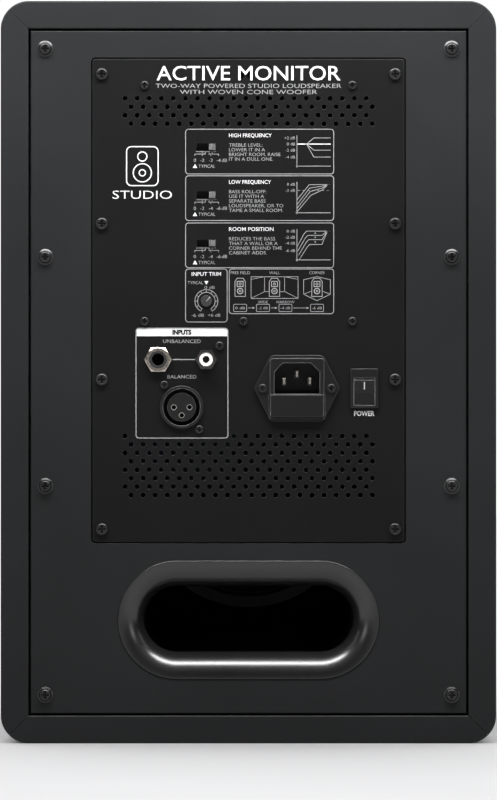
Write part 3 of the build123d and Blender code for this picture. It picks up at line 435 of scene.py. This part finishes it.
def make_materials():
    """One material for each finish, by its slot name in the record, and one for each ink."""
    made = {}

    def add(make, name, *values, **settings):
        made[name] = make(name, *values, **settings)

    add(grained, "cabinet_paint", tint(0.0080), tint(0.0108), (0.42, 0.52), **PAINT)
    add(grained, "baffle_paint", grey(0.010), grey(0.014), (0.46, 0.58), grain=1100.0, depth=0.05,
        specular=0.3)
    add(grained, "panel_paint", tint(0.0080), tint(0.0108), (0.42, 0.52), **PAINT)
    add(grain_wood, "batten_wood")
    add(grained, "port_plastic", grey(0.005), grey(0.008), (0.22, 0.28), grain=2200.0, depth=0.006,
        specular=0.65, edge=0.2)
    add(grained, "inner_port_plastic", grey(0.02), grey(0.03), (0.5, 0.6))
    # The plate's paint gets a faint painted highlight along its edges and vent rims.
    add(grained, "plate_paint", grey(0.0036), grey(0.0050), (0.38, 0.46), grain=2400.0, depth=0.02,
        specular=0.13, edge=0.4, worn=0.030)
    # The screw heads get painted shade in their cross recesses.
    add(grained, "black_screw", grey(0.024), grey(0.044), (0.26, 0.34), grain=1800.0, depth=0.01,
        metallic=0.8, edge=0.2, crevice=0.9 * MM)
    add(grained, "foam_rubber", grey(0.010), grey(0.016), (0.75, 0.9), grain=1500.0, depth=0.12)
    add(grained, "tub_plastic", grey(0.03), grey(0.04), (0.5, 0.6), grain=900.0)
    add(brushed, "aluminium_black", (0.02, 0.02, 0.021), (0.35, 0.5), (1, 1, 0.04))
    add(grained, "package_plastic", grey(0.018), grey(0.028), (0.45, 0.6), grain=2500.0)
    add(flecked, "board_green", (0.012, 0.11, 0.04), (0.02, 0.20, 0.07), (0.3, 0.45), 260.0)
    add(grained, "can_sleeve", (0.02, 0.03, 0.09), (0.03, 0.045, 0.13), (0.22, 0.32), grain=300.0)
    add(brushed, "core_steel", (0.035, 0.034, 0.036), (0.45, 0.6), (1, 8, 1), scale=300.0)
    # Black tape wrapping, kept this dark also as painted shade for the transformer seen through the vents.
    add(grained, "winding", grey(0.010), grey(0.016), (0.35, 0.5), grain=500.0)
    add(grained, "zinc_steel", grey(0.030), grey(0.045), (0.4, 0.5), grain=240.0, metallic=0.9)
    add(grained, "switch_plastic", grey(0.004), grey(0.007), (0.5, 0.6), grain=2000.0)
    add(grained, "lever_grey", grey(0.10), grey(0.13), (0.5, 0.6), grain=3000.0)
    add(grained, "knob_grey", grey(0.018), grey(0.026), (0.45, 0.55), grain=3000.0, specular=0.3, edge=0.2)
    # Painted highlight along the connector's edges.
    add(grained, "xlr_black", grey(0.0065), grey(0.009), (0.30, 0.38), **CONNECTOR, worn=0.20)
    add(brushed, "contact_metal", (0.78, 0.74, 0.66), (0.18, 0.3), (1, 1, 1))
    add(brushed, "nickel", (0.50, 0.455, 0.40), (0.20, 0.32), (1, 6, 1), scale=900.0)
    # A darker copy of the nickel: painted shade.
    add(brushed, "shaded_nickel", (0.16, 0.15, 0.145), (0.2, 0.3), (1, 6, 1), scale=900.0)
    add(grained, "white_plastic", grey(0.78), grey(0.86), (0.3, 0.4), grain=1500.0)
    # Painted highlight along the inlet's edges.
    add(grained, "inlet_black", grey(0.0045), grey(0.0065), (0.30, 0.38), **CONNECTOR, worn=0.20)
    add(clear, "fuse_glass", (0.9, 0.93, 0.93))
    # Painted highlight along the rocker's edges.
    add(grained, "rocker_black", grey(0.0045), grey(0.0065), (0.28, 0.36), **CONNECTOR, worn=0.22)
    add(grained, "basket_metal", grey(0.011), grey(0.017), (0.42, 0.55), grain=700.0, depth=0.05,
        metallic=0.2)
    add(grained, "surround_rubber", grey(0.010), grey(0.014), (0.45, 0.6), grain=1300.0, depth=0.03)
    add(woven, "cone_fibre", (0.62, 0.44, 0.10), (0.16, 0.10, 0.02), 1.9 * MM, 0.42, 0.35)
    add(grained, "cap_black", grey(0.012), grey(0.017), (0.34, 0.46), grain=1700.0, depth=0.02)
    add(brushed, "former", (0.55, 0.26, 0.10), (0.3, 0.45), (0.2, 6, 0.2))
    add(woven, "spider_cloth", (0.60, 0.44, 0.20), (0.30, 0.20, 0.08), 0.9 * MM, 0.7)
    # Black-passivated steel and dark ferrite, both kept this dark also as painted shade for what shows through
    # the port.
    add(brushed, "motor_steel", (0.007, 0.007, 0.0075), (0.5, 0.6), (1, 6, 1))
    add(flecked, "ferrite", (0.004, 0.004, 0.0045), (0.008, 0.008, 0.009), (0.7, 0.85), 700.0)
    add(grained, "waveguide_plastic", grey(0.012), grey(0.016), (0.36, 0.46), grain=1500.0, depth=0.02)
    add(woven, "dome_silk", (0.030, 0.030, 0.033), (0.010, 0.010, 0.011), 0.35 * MM, 0.45, 0.3)
    add(clear, "lens", (0.25, 0.45, 0.95), 0.12)
    add(two_tone_lead, "lead_sheath")
    add(grained, "foam", grey(0.025), grey(0.05), (0.85, 0.95), grain=1100.0, depth=0.6)
    add(grained, "print_white", grey(0.50), grey(0.56), (0.5, 0.6), **FILM)
    add(grained, "print_grey", grey(0.20), grey(0.24), (0.5, 0.6), **FILM)
    add(grained, "print_black", grey(0.004), grey(0.006), (0.5, 0.6), **FILM, specular=0.1)
    return made


# Nodes whose finish differs from the others of their slot; the RCA barrel's darker copy of the nickel is painted
# shade for its dark reflections.
FINISHES = {"rca_barrel": "shaded_nickel"}


def dress_cad_nodes(materials):
    """Every carried-over CAD node takes the material of its slot in the record."""
    for part in frame["record"]["subparts"]:
        mesh = NODES[part["node"]].data
        mesh.materials.clear()
        mesh.materials.append(materials[FINISHES.get(part["node"], part["material_slot"])])


# ---- printing ----

class Print:
    """Flat artwork on the plate, gathered into one raised mesh."""
    cap_height = 0.0

    def __init__(self, name, material, slot, base=PLATE_FACE):
        self.name, self.material, self.slot, self.base = name, material, slot, base
        self.bm = bmesh.new()

    def point(self, u, z, lift):
        return self.bm.verts.new((-u * MM, self.base + lift, z * MM))

    def prism(self, outline):
        """A closed outline of (u, z) corners, raised from the plate by the ink's thickness."""
        low = [self.point(u, z, 0.0) for u, z in outline]
        high = [self.point(u, z, INK) for u, z in outline]
        self.bm.faces.new(high)
        self.bm.faces.new(low[::-1])
        for i in range(len(outline)):
            j = (i + 1) % len(outline)
            self.bm.faces.new((low[i], low[j], high[j], high[i]))

    def stroke(self, points, width=0.36, closed=False):
        """A line of constant width through (u, z) points, mitred at its corners."""
        points = [Vector(p) for p in points]
        count = len(points)
        left, right = [], []
        for i, p in enumerate(points):
            before = points[i - 1] if closed or i else None
            after = points[(i + 1) % count] if closed or i < count - 1 else None
            a = (p - before).normalized() if before is not None else (after - p).normalized()
            b = (after - p).normalized() if after is not None else a
            normal = Vector((-(a + b).y, (a + b).x)).normalized()
            reach = width / 2 / max(0.35, normal.dot(Vector((-a.y, a.x))))
            left.append(p + normal * reach)
            right.append(p - normal * reach)
        for i in range(count if closed else count - 1):
            j = (i + 1) % count
            self.prism([left[i], right[i], right[j], left[j]])

    def rounded(self, u0, u1, z0, z1, radius=1.6, width=0.38):
        self.stroke(rounded_corners(u0, u1, z0, z1, radius), width, closed=True)

    def arc(self, u, z, radius, start, end, width=0.3, steps=24, squash=1.0):
        turn = [math.radians(start + (end - start) * i / steps) for i in range(steps + 1)]
        whole = abs(end - start) >= 360
        points = [(u + radius * math.sin(t), z + squash * radius * math.cos(t)) for t in turn]
        self.stroke(points[:-1] if whole else points, width, closed=whole)

    def cap_of_font(self):
        """The height of a capital H at the font's own size."""
        if not Print.cap_height:
            curve = bpy.data.curves.new("cap", "FONT")
            curve.body = "H"
            holder = bpy.data.objects.new("cap", curve)
            bpy.context.scene.collection.objects.link(holder)
            bpy.context.view_layer.update()
            Print.cap_height = holder.dimensions.y
            bpy.data.objects.remove(holder)
            bpy.data.curves.remove(curve)
        return Print.cap_height

    def text(self, words, u, z, cap, width=None, align="LEFT", heavy=-0.006):
        """Capitals cap mm high with their base on z. width sets the whole line's length."""
        curve = bpy.data.curves.new("line", "FONT")
        curve.body = words
        curve.offset = heavy
        curve.resolution_u = 3
        holder = bpy.data.objects.new("line", curve)
        bpy.context.scene.collection.objects.link(holder)
        bpy.context.view_layer.update()
        made = bpy.data.meshes.new_from_object(holder.evaluated_get(bpy.context.evaluated_depsgraph_get()))
        low_x = min(v.co.x for v in made.vertices)
        high_x = max(v.co.x for v in made.vertices)
        scale_z = cap / self.cap_of_font()
        scale_u = width / (high_x - low_x) if width else scale_z * 1.12
        length = (high_x - low_x) * scale_u
        start = u - {"LEFT": 0.0, "CENTER": length / 2, "RIGHT": length}[align]
        flat = bmesh.new()
        flat.from_mesh(made)
        bmesh.ops.remove_doubles(flat, verts=flat.verts, dist=1e-5)
        low, high = {}, {}
        for v in flat.verts:
            place = start + (v.co.x - low_x) * scale_u, z + v.co.y * scale_z
            low[v], high[v] = self.point(*place, 0.0), self.point(*place, INK)
        for face in flat.faces:
            self.bm.faces.new([high[v] for v in face.verts])
            self.bm.faces.new([low[v] for v in reversed(face.verts)])
        for edge in flat.edges:
            if len(edge.link_faces) == 1:
                a, b = edge.verts
                self.bm.faces.new((low[a], low[b], high[b], high[a]))
        flat.free()
        bpy.data.objects.remove(holder)
        bpy.data.curves.remove(curve)
        bpy.data.meshes.remove(made)

    def finish(self):
        bmesh.ops.recalc_face_normals(self.bm, faces=self.bm.faces)
        mesh = bpy.data.meshes.new(self.name)
        self.bm.to_mesh(mesh)
        self.bm.free()
        mesh.materials.append(self.material)
        piece = bpy.data.objects.new(self.name, mesh)
        bpy.context.scene.collection.objects.link(piece)
        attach(piece, "cabinet")


def rounded_corners(u0, u1, z0, z1, radius, steps=5):
    """The outline of a rectangle with rounded corners, clockwise from its top right."""
    left, right, bottom, top = u0 + radius, u1 - radius, z0 + radius, z1 - radius
    corners = [(right, top, 0), (right, bottom, 90), (left, bottom, 180), (left, top, 270)]
    points = []
    for u, z, start in corners:
        for i in range(steps + 1):
            t = math.radians(start + 90 * i / steps)
            points.append((u + radius * math.sin(t), z + radius * math.cos(t)))
    return points


# Edges and sizes that the boxed controls share.
BOX_LEFT, BOX_RIGHT = -33.9, 45.9
BOX_HEIGHT = 24.1
NOTE_LEFT = -10.5
SMALL = 1.75
GRAPH_LEFT, GRAPH_RIGHT = 26.1, 44.3


def title(white, lines):
    white.text("ACTIVE MONITOR", 0, 357.3, 7.6, width=99.0, align="CENTER", heavy=0.004)
    lines.text("TWO-WAY POWERED STUDIO LOUDSPEAKER", 0, 353.1, 2.3, width=100.0, align="CENTER")
    lines.text("WITH WOVEN CONE WOOFER", 0, 349.8, 2.3, width=74.0, align="CENTER")


def emblem(white):
    """A plain pictogram of a loudspeaker over one word."""
    u, z = -57.2, 311.0
    white.rounded(u - 8.5, u + 8.5, z - 10.5, z + 10.5, 2.6, 0.6)
    white.arc(u, z - 3.6, 4.9, 0, 360, 0.6, 32)
    white.arc(u, z - 3.6, 1.7, 0, 360, 0.6, 16)
    white.arc(u, z + 5.2, 2.5, 0, 360, 0.6, 20)
    white.text("STUDIO", u, 293.4, 4.4, width=32.0, align="CENTER")


def switch_block(white, lines, z, top, heading, width, words, levels):
    """One boxed switch: its frame, heading, note and the four marked positions below the slot."""
    lines.rounded(BOX_LEFT, BOX_RIGHT, top - BOX_HEIGHT, top)
    white.text(heading, NOTE_LEFT, top - 4.3, 1.95, width=width, heavy=0.006)
    for i, line in enumerate(words):
        lines.text(line, NOTE_LEFT, top - 9.4 - 2.52 * i, SMALL)
    ticks = [(-24.9, -28.9), (-23.2, -24.9), (-21.2, -20.3), (-19.6, -16.1)]
    lines.stroke([(-28.2, z - 2.6), (-17.4, z - 2.6)], 0.22)
    for near, far in ticks:
        lines.stroke([(near, z - 2.9), (near - 0.1, z - 3.9), (far, z - 3.9), (far, z - 4.9)], 0.26)
    for (near, far), level in zip(ticks, levels):
        lines.text(level, far, z - 8.1, SMALL, align="CENTER")
    lines.text("dB", -14.4, z - 8.1, SMALL)
    white.prism([(-30.0, z - 11.4), (-27.6, z - 11.4), (-28.8, z - 9.3)])
    lines.text("TYPICAL", -27.0, z - 11.3, SMALL, width=9.1)


def graph(lines, top, levels):
    """Axes with the level marks beside them, from (offset below top, words)."""
    lines.stroke([(GRAPH_LEFT, top - 3.3), (GRAPH_LEFT, top - 20.7)], 0.34)
    lines.stroke([(GRAPH_LEFT - 0.6, top - 19.9), (GRAPH_RIGHT, top - 19.9)], 0.34)
    for drop, words in levels:
        lines.text(words, GRAPH_LEFT - 1.0, top - drop - 0.75, 1.5, align="RIGHT")


def treble_curves(white, lines, top):
    """A level line that three others leave, one upwards and two downwards."""
    level = top - 8.0
    white.stroke([(GRAPH_LEFT, level), (GRAPH_RIGHT, level)], 0.5)
    for drop in (4.7, 11.3, 15.0):
        lines.stroke([(31.3, level), (35.2, top - drop), (GRAPH_RIGHT, top - drop)], 0.32)


def bass_curves(lines, top):
    """Four slopes that meet at the right, over a dashed level line, from their starts and their knees."""
    full = 4.6
    for start, knee, u in [(13.0, 4.8, 32.7), (15.5, 6.6, 33.0), (17.6, 8.5, 33.2), (19.5, 10.5, 33.6)]:
        halfway = ((u + GRAPH_RIGHT) / 2 + 1.0, top - 0.5 * (knee + full))
        end = [(GRAPH_RIGHT - 1.6, top - full - 0.1), (GRAPH_RIGHT, top - full)]
        lines.stroke([(GRAPH_LEFT, top - start), (u, top - knee), halfway] + end, 0.3)
    for i in range(7):
        u = GRAPH_LEFT + 2.6 * i
        lines.stroke([(u + 0.4, top - 7.9), (u + 1.7, top - 7.9)], 0.2)


def room_curves(lines, top):
    """Four shelves that rise to one level at the right, from their starts, levels and flat stretches."""
    full = 4.4
    for start, shelf, u in [(13.0, 4.4, 31.3), (15.2, 6.7, 31.9), (17.4, 9.0, 32.4), (19.6, 11.6, 32.9)]:
        foot = (GRAPH_LEFT + 0.2 * (start - 13.0), top - start)
        rise = [foot, (u - 1.4, top - shelf - 1.6), (u, top - shelf)]
        step = [(39.6, top - shelf), (41.0, top - 0.5 * (shelf + full)), (42.4, top - full - 0.1)]
        lines.stroke(rise + step + [(GRAPH_RIGHT, top - full)], 0.3)
    for drop in (5.8, 8.1, 10.5):
        lines.prism([(35.5, top - drop), (36.4, top - drop), (36.0, top - drop + 0.9)])


def trim_scale(white, lines):
    """A double ring of ten segments round the knob, open at the bottom."""
    u, z = -mid("trim_pot_body").x / MM, mid("trim_pot_body").z / MM
    lines.rounded(BOX_LEFT, -11.5, 227.0, 255.6)
    white.text("INPUT TRIM", u, 251.9, 2.0, width=15.8, align="CENTER", heavy=0.006)
    lines.text("TYPICAL", u - 1.9, 247.4, 1.6, width=8.1, align="RIGHT")
    white.prism([(u - 1.1, 249.1), (u + 1.1, 249.1), (u, 247.1)])
    lines.text("0 dB", u - 1.0, 244.9, 1.5, width=5.6)
    lines.arc(u, z, 4.7, -150, 150, 0.34, 40)
    lines.arc(u, z, 6.2, -150, 150, 0.34, 40)
    for i in range(11):
        t = math.radians(-150 + 30 * i)
        lines.stroke([(u + r * math.sin(t), z + r * math.cos(t)) for r in (4.6, 6.35)], 0.3)
    lines.text("-6 dB", u - 8.0, 229.9, 1.6, width=6.7)
    lines.text("+6 dB", u + 0.9, 229.9, 1.6, width=6.7)


def speaker_sign(lines, u):
    """A small front view of a loudspeaker."""
    low, high = 240.8, 250.6
    shoulder = high - 1.8
    lines.stroke([(u - 2.8, low), (u + 2.8, low), (u + 2.8, shoulder), (u + 1.6, high), (u - 1.6, high),
                  (u - 2.8, shoulder)], 0.34, closed=True)
    lines.arc(u, 243.7, 1.5, 0, 360, 0.5, 14)
    lines.arc(u, 243.7, 0.5, 0, 360, 0.3, 8)
    lines.stroke([(u - 1.6, 246.1), (u + 1.6, 246.1), (u + 1.6, 248.9), (u - 1.6, 248.9)], 0.42, closed=True)
    lines.arc(u, 247.5, 0.6, 0, 360, 0.34, 10)


def placement_guide(lines):
    """Three ways to place the loudspeaker, with the matching level in a box below each."""
    lines.rounded(-10.4, BOX_RIGHT, 231.5, 255.6)
    for words, u, width in (("FREE FIELD", -4.4, 10.4), ("WALL", 14.0, 5.5), ("CORNER", 36.9, 8.3)):
        lines.text(words, u, 252.8, 1.5, width=width, align="CENTER")
    for u in (-4.5, 14.0, 36.9):
        speaker_sign(lines, u)
    lines.stroke([(1.4, 239.7), (26.7, 239.7), (26.7, 251.4), (1.4, 251.4)], 0.28, closed=True)
    room, corner = 14.05, 36.9
    for side in (-1, 1):
        near, far = room + side * 5.4, room + side * 12.6
        lines.stroke([(far, 250.0), (near, 251.4), (near, 243.4), (far, 239.8)], 0.24)
        lines.stroke([(near, 243.4), (room + side * 3.1, 243.4)], 0.24)
        lines.stroke([(corner + side * 7.2, 242.0), (corner + side * 3.1, 243.6)], 0.24)
    left, right = corner - 7.2, corner + 7.2
    ceiling = [(left, 249.8), (corner, 251.5), (right, 249.8)]
    ground = [(right, 242.0), (corner, 238.5), (left, 242.0)]
    lines.stroke(ceiling + ground, 0.28, closed=True)
    for words, u, width in (("WIDE", 7.8, 5.2), ("NARROW", 20.0, 9.6)):
        lines.text(words, u, 237.1, 1.4, width=width, align="CENTER")
    boxes = [(-4.5, "0 dB"), (7.8, "-2 dB"), (19.9, "-4 dB"), (36.9, "-6 dB")]
    for u, words in boxes:
        lines.rounded(u - 3.5, u + 3.5, 232.6, 236.6, 0.6, 0.28)
        lines.text(words, u, 233.9, 1.35, width=5.2, align="CENTER")
    for (a, _), (b, _) in zip(boxes, boxes[1:]):
        lines.stroke([(a + 4.3, 234.6), (b - 5.4, 234.6)], 0.26)
        lines.prism([(b - 5.6, 234.0), (b - 5.6, 235.2), (b - 4.3, 234.6)])


def input_area(white, lines, black):
    """The boxed input area with a solid heading bar."""
    left, right, top, bar_foot, middle = -60.6, -11.1, 223.7, 219.4, -35.9
    lines.rounded(left, right, 164.5, top, 1.6, 0.5)
    upper = [p for p in rounded_corners(left, right, bar_foot, top, 1.5) if p[1] > 221.4]
    upper_right = [p for p in upper if p[0] > middle]
    upper_left = [p for p in upper if p[0] < middle]
    white.prism(upper_right + [(right, bar_foot), (left, bar_foot)] + upper_left)
    black.text("INPUTS", middle, 220.35, 2.3, width=10.2, align="CENTER", heavy=0.06)
    lines.text("UNBALANCED", middle, 215.7, 1.9, align="CENTER")
    lines.text("BALANCED", middle, 196.6, 1.9, align="CENTER")
    lines.stroke([(-41.0, 206.8), (-28.8, 206.8)], 0.5)


def print_plate(materials):
    """All the plate's printing, in three inks."""
    white = Print("plate_print_white", materials["print_white"], "white_plastic")
    lines = Print("plate_print_grey", materials["print_grey"], "white_plastic")
    black = Print("plate_print_black", materials["print_black"], "plate_paint", PLATE_FACE + INK)
    title(white, lines)
    emblem(white)
    hf, lf, room = (mid(f"{name}_switch_lever").z / MM for name in ("hf", "lf", "room"))
    hf_top, lf_top, room_top = 330.9, 305.8, 280.4
    note = ["TREBLE LEVEL:", "LOWER IT IN A", "BRIGHT ROOM, RAISE", "IT IN A DULL ONE."]
    switch_block(white, lines, hf, hf_top, "HIGH FREQUENCY", 23.0, note, ["0", "-2", "-2", "-4"])
    graph(lines, hf_top, [(4.7, "+2 dB"), (8.0, "0 dB"), (11.3, "-2 dB"), (15.0, "-4 dB")])
    treble_curves(white, lines, hf_top)
    note = ["BASS ROLL-OFF:", "USE IT WITH A", "SEPARATE BASS", "LOUDSPEAKER, OR TO", "TAME A SMALL ROOM."]
    switch_block(white, lines, lf, lf_top, "LOW FREQUENCY", 22.6, note, ["0", "-2", "-4", "-6"])
    graph(lines, lf_top, [(4.6, "0 dB"), (7.9, "-3 dB")])
    bass_curves(lines, lf_top)
    note = ["REDUCES THE BASS", "THAT A WALL OR A", "CORNER BEHIND THE", "CABINET ADDS."]
    switch_block(white, lines, room, room_top, "ROOM POSITION", 24.0, note, ["0", "-2", "-4", "-6"])
    graph(lines, room_top, [(4.4, "0 dB"), (7.7, "-2 dB"), (10.9, "-4 dB"), (14.9, "-6 dB")])
    room_curves(lines, room_top)
    trim_scale(white, lines)
    placement_guide(lines)
    input_area(white, lines, black)
    white.text("POWER", -mid("power_switch_body").x / MM, 176.5, 2.5, width=11.0, align="CENTER", heavy=0.03)
    for layer in (white, lines, black):
        layer.finish()


# ---- soft pieces ----

def solid_of(name, verts, faces, material, body, nodes=()):
    """A smooth piece from its points and faces, which rides on body when one is given."""
    mesh = bpy.data.meshes.new(name)
    mesh.from_pydata(verts, [], faces)
    mesh.validate()
    bm = bmesh.new()
    bm.from_mesh(mesh)
    bmesh.ops.recalc_face_normals(bm, faces=bm.faces)
    bm.to_mesh(mesh)
    bm.free()
    for face in mesh.polygons:
        face.use_smooth = True
    mesh.materials.append(material)
    piece = bpy.data.objects.new(name, mesh)
    bpy.context.scene.collection.objects.link(piece)
    if body:
        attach(piece, body)
    if nodes:
        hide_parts(*nodes)
    return piece


def turned_ring(name, outline, centre, material, node, steps=128):
    """A closed outline of (radius, y) in metres, turned about the Y axis through centre."""
    count = len(outline)
    verts, faces = [], []
    for i in range(steps):
        t = 2 * math.pi * i / steps
        verts += [(centre.x + r * math.cos(t), y, centre.z + r * math.sin(t)) for r, y in outline]
    for i in range(steps):
        a, b = i * count, (i + 1) % steps * count
        for j in range(count):
            k = (j + 1) % count
            faces.append((a + j, a + k, b + k, b + j))
    return solid_of(name, verts, faces, material, None, [node])


def follow_cone(piece):
    """Bakes the ring's placement into its mesh."""
    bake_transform(piece)


def half_roll(node, middle, roll, skin, lips, material):
    """A half roll of rubber that bulges forwards between its flat lips, which end at the radii in lips."""
    low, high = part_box(node)
    centre = (low + high) / 2
    front, back = low.y, high.y
    y = front + roll
    inner, outer = lips
    face = back - skin
    turns = [math.pi * i / 20 for i in range(21)]
    over = [(middle + roll * math.cos(t), y - roll * math.sin(t)) for t in turns]
    under = [(middle + (roll - skin) * math.cos(t), y - (roll - skin) * math.sin(t)) for t in turns[::-1]]
    outline = [(outer, back), (outer, face)] + [p for p in over if p[1] < face]
    if inner < middle - roll:
        outline += [(inner, face), (inner, back)]
    else:
        outline += [over[-1], under[0]]
    outline += under
    piece = turned_ring(node + "_soft", outline, centre, material, node)
    follow_cone(piece)


def woofer_soft_parts(materials):
    low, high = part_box("woofer_surround")
    radius = (high.x - low.x) / 2
    half_roll("woofer_surround", radius - 9.3 * MM, high.y - low.y, 0.8 * MM, (radius - 18.8 * MM, radius),
              materials["surround_rubber"])
    low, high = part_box("woofer_spider")
    centre = (low + high) / 2
    outer, inner = (high.x - low.x) / 2, 25.4 * MM
    start, end = inner + 4.6 * MM, outer - 8.0 * MM
    skin = 0.3 * MM
    swing = (high.y - low.y - skin) / 2
    radii = [inner + (outer - inner) * i / 150 for i in range(151)]

    def wave(r):
        """Six corrugations between the flat rims."""
        if not start < r < end:
            return centre.y
        return centre.y - swing * math.sin(12 * math.pi * (r - start) / (end - start))

    outline = [(r, wave(r) - skin / 2) for r in radii] + [(r, wave(r) + skin / 2) for r in radii[::-1]]
    piece = turned_ring("woofer_spider_soft", outline, centre, materials["spider_cloth"],
                        "woofer_spider")
    follow_cone(piece)


def tweeter_soft_parts(materials):
    low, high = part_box("tweeter_surround")
    half_roll("tweeter_surround", 13.55 * MM, 0.85 * MM, 0.35 * MM, (12.7 * MM, (high.x - low.x) / 2),
              materials["surround_rubber"])


def foam_pad(corner, along, up, out, thick, counts):
    """A slab of egg-crate foam: its flat back on a wall, its peaks and hollows towards the cabinet's middle."""
    columns, rows = counts
    verts, faces = [], []
    for level in (0, 1):
        for j in range(rows + 1):
            for i in range(columns + 1):
                s, t = i / columns, j / rows
                edge = min(1.0, 12 * min(s, 1 - s, t, 1 - t))
                wave = 0.5 + 0.5 * math.sin(math.pi * 0.5 * i) * math.sin(math.pi * 0.5 * j)
                rise = thick * (0.45 + 0.5 * wave * edge) if level else 0.0
                verts.append(tuple(corner + along * s + up * t + out * rise))
    size = (columns + 1) * (rows + 1)
    for j in range(rows):
        for i in range(columns):
            a = j * (columns + 1) + i
            quad = (a, a + 1, a + columns + 2, a + columns + 1)
            faces.append(quad[::-1])
            faces.append(tuple(size + q for q in quad))
    rim = list(range(columns)) + [columns + j * (columns + 1) for j in range(rows)]
    rim += [size - 1 - i for i in range(columns)] + [(rows - j) * (columns + 1) for j in range(rows)]
    for a, b in zip(rim, rim[1:] + rim[:1]):
        faces.append((a, b, size + b, size + a))
    return verts, faces


def damping_foam(materials):
    low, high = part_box("damping_foam")
    thick = 20 * MM
    depth = Vector((0, high.y - low.y, 0))
    side_height = Vector((0, 0, high.z - 25 * MM - low.z))
    verts, faces = [], []
    walls = ((low.x, Vector((1, 0, 0))), (high.x, Vector((-1, 0, 0))))
    for x, out in walls:
        pad = foam_pad(Vector((x, low.y, low.z)), depth, side_height, out, thick, (40, 60))
        faces += [tuple(len(verts) + i for i in face) for face in pad[1]]
        verts += pad[0]
    inset = 24.5 * MM
    width = Vector((high.x - low.x - 2 * inset, 0, 0))
    pad = foam_pad(Vector((low.x + inset, low.y, high.z)), depth, width, Vector((0, 0, -1)), thick, (40, 36))
    faces += [tuple(len(verts) + i for i in face) for face in pad[1]]
    verts += pad[0]
    piece = solid_of("damping_foam_pads", verts, faces, materials["foam"], "cabinet", ["damping_foam"])


# ---- marks on moving pieces ----

def mark_on(node, name, body, outlines, material):
    """Thin ink on a CAD node's rear face, each (x, z) outline laid on the surface beneath it."""
    target = NODES[node]
    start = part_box(node)[1].y + 5 * MM
    verts, faces = [], []
    for outline in outlines:
        first = len(verts)
        for lift in (-INK, INK):
            for x, z in outline:
                _, place, _, _ = target.ray_cast(Vector((x, start, z)), Vector((0, -1, 0)))
                verts.append((x, place.y + lift, z))
        count = len(outline)
        faces.append([first + i for i in range(count)][::-1])
        faces.append([first + count + i for i in range(count)])
        for i in range(count):
            j = (i + 1) % count
            faces.append([first + i, first + j, first + count + j, first + count + i])
    piece = solid_of(name, verts, faces, material, body)
    for face in piece.data.polygons:
        face.use_smooth = False


def rocker_marks(materials):
    """An upright bar on the upper half of the rocker."""
    centre = mid("power_rocker")
    corners = ((-1, -1), (1, -1), (1, 1), (-1, 1))
    bar = [(centre.x + a * 0.32 * MM, centre.z + (3.3 + b * 2.0) * MM) for a, b in corners]
    mark_on("power_rocker", "rocker_mark", "rocker", [bar], materials["print_white"])


def knob_pointer(materials):
    """White paint in the bottom of the knob's pointer groove."""
    low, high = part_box("trim_pot_body")
    x, z = (low.x + high.x) / 2, (low.z + high.z) / 2
    turn = math.radians(-TRIM_POINTER)
    along = Vector((math.sin(turn), math.cos(turn)))
    across = Vector((along.y, -along.x))
    corners = []
    for r, side in ((-0.4, -1), (2.9, -1), (2.9, 1), (-0.4, 1)):
        corner = along * r + across * side * 0.3
        corners.append((x + corner.x * MM, z + corner.y * MM))
    mark_on("trim_knob", "knob_pointer", "trim", [corners], materials["print_white"])


# ---- the script ----

make_camera()
make_world()
floor = make_floor()
MATERIALS = make_materials()
dress_cad_nodes(MATERIALS)
print_plate(MATERIALS)
woofer_soft_parts(MATERIALS)
tweeter_soft_parts(MATERIALS)
damping_foam(MATERIALS)
rocker_marks(MATERIALS)
knob_pointer(MATERIALS)
make_lights(floor)
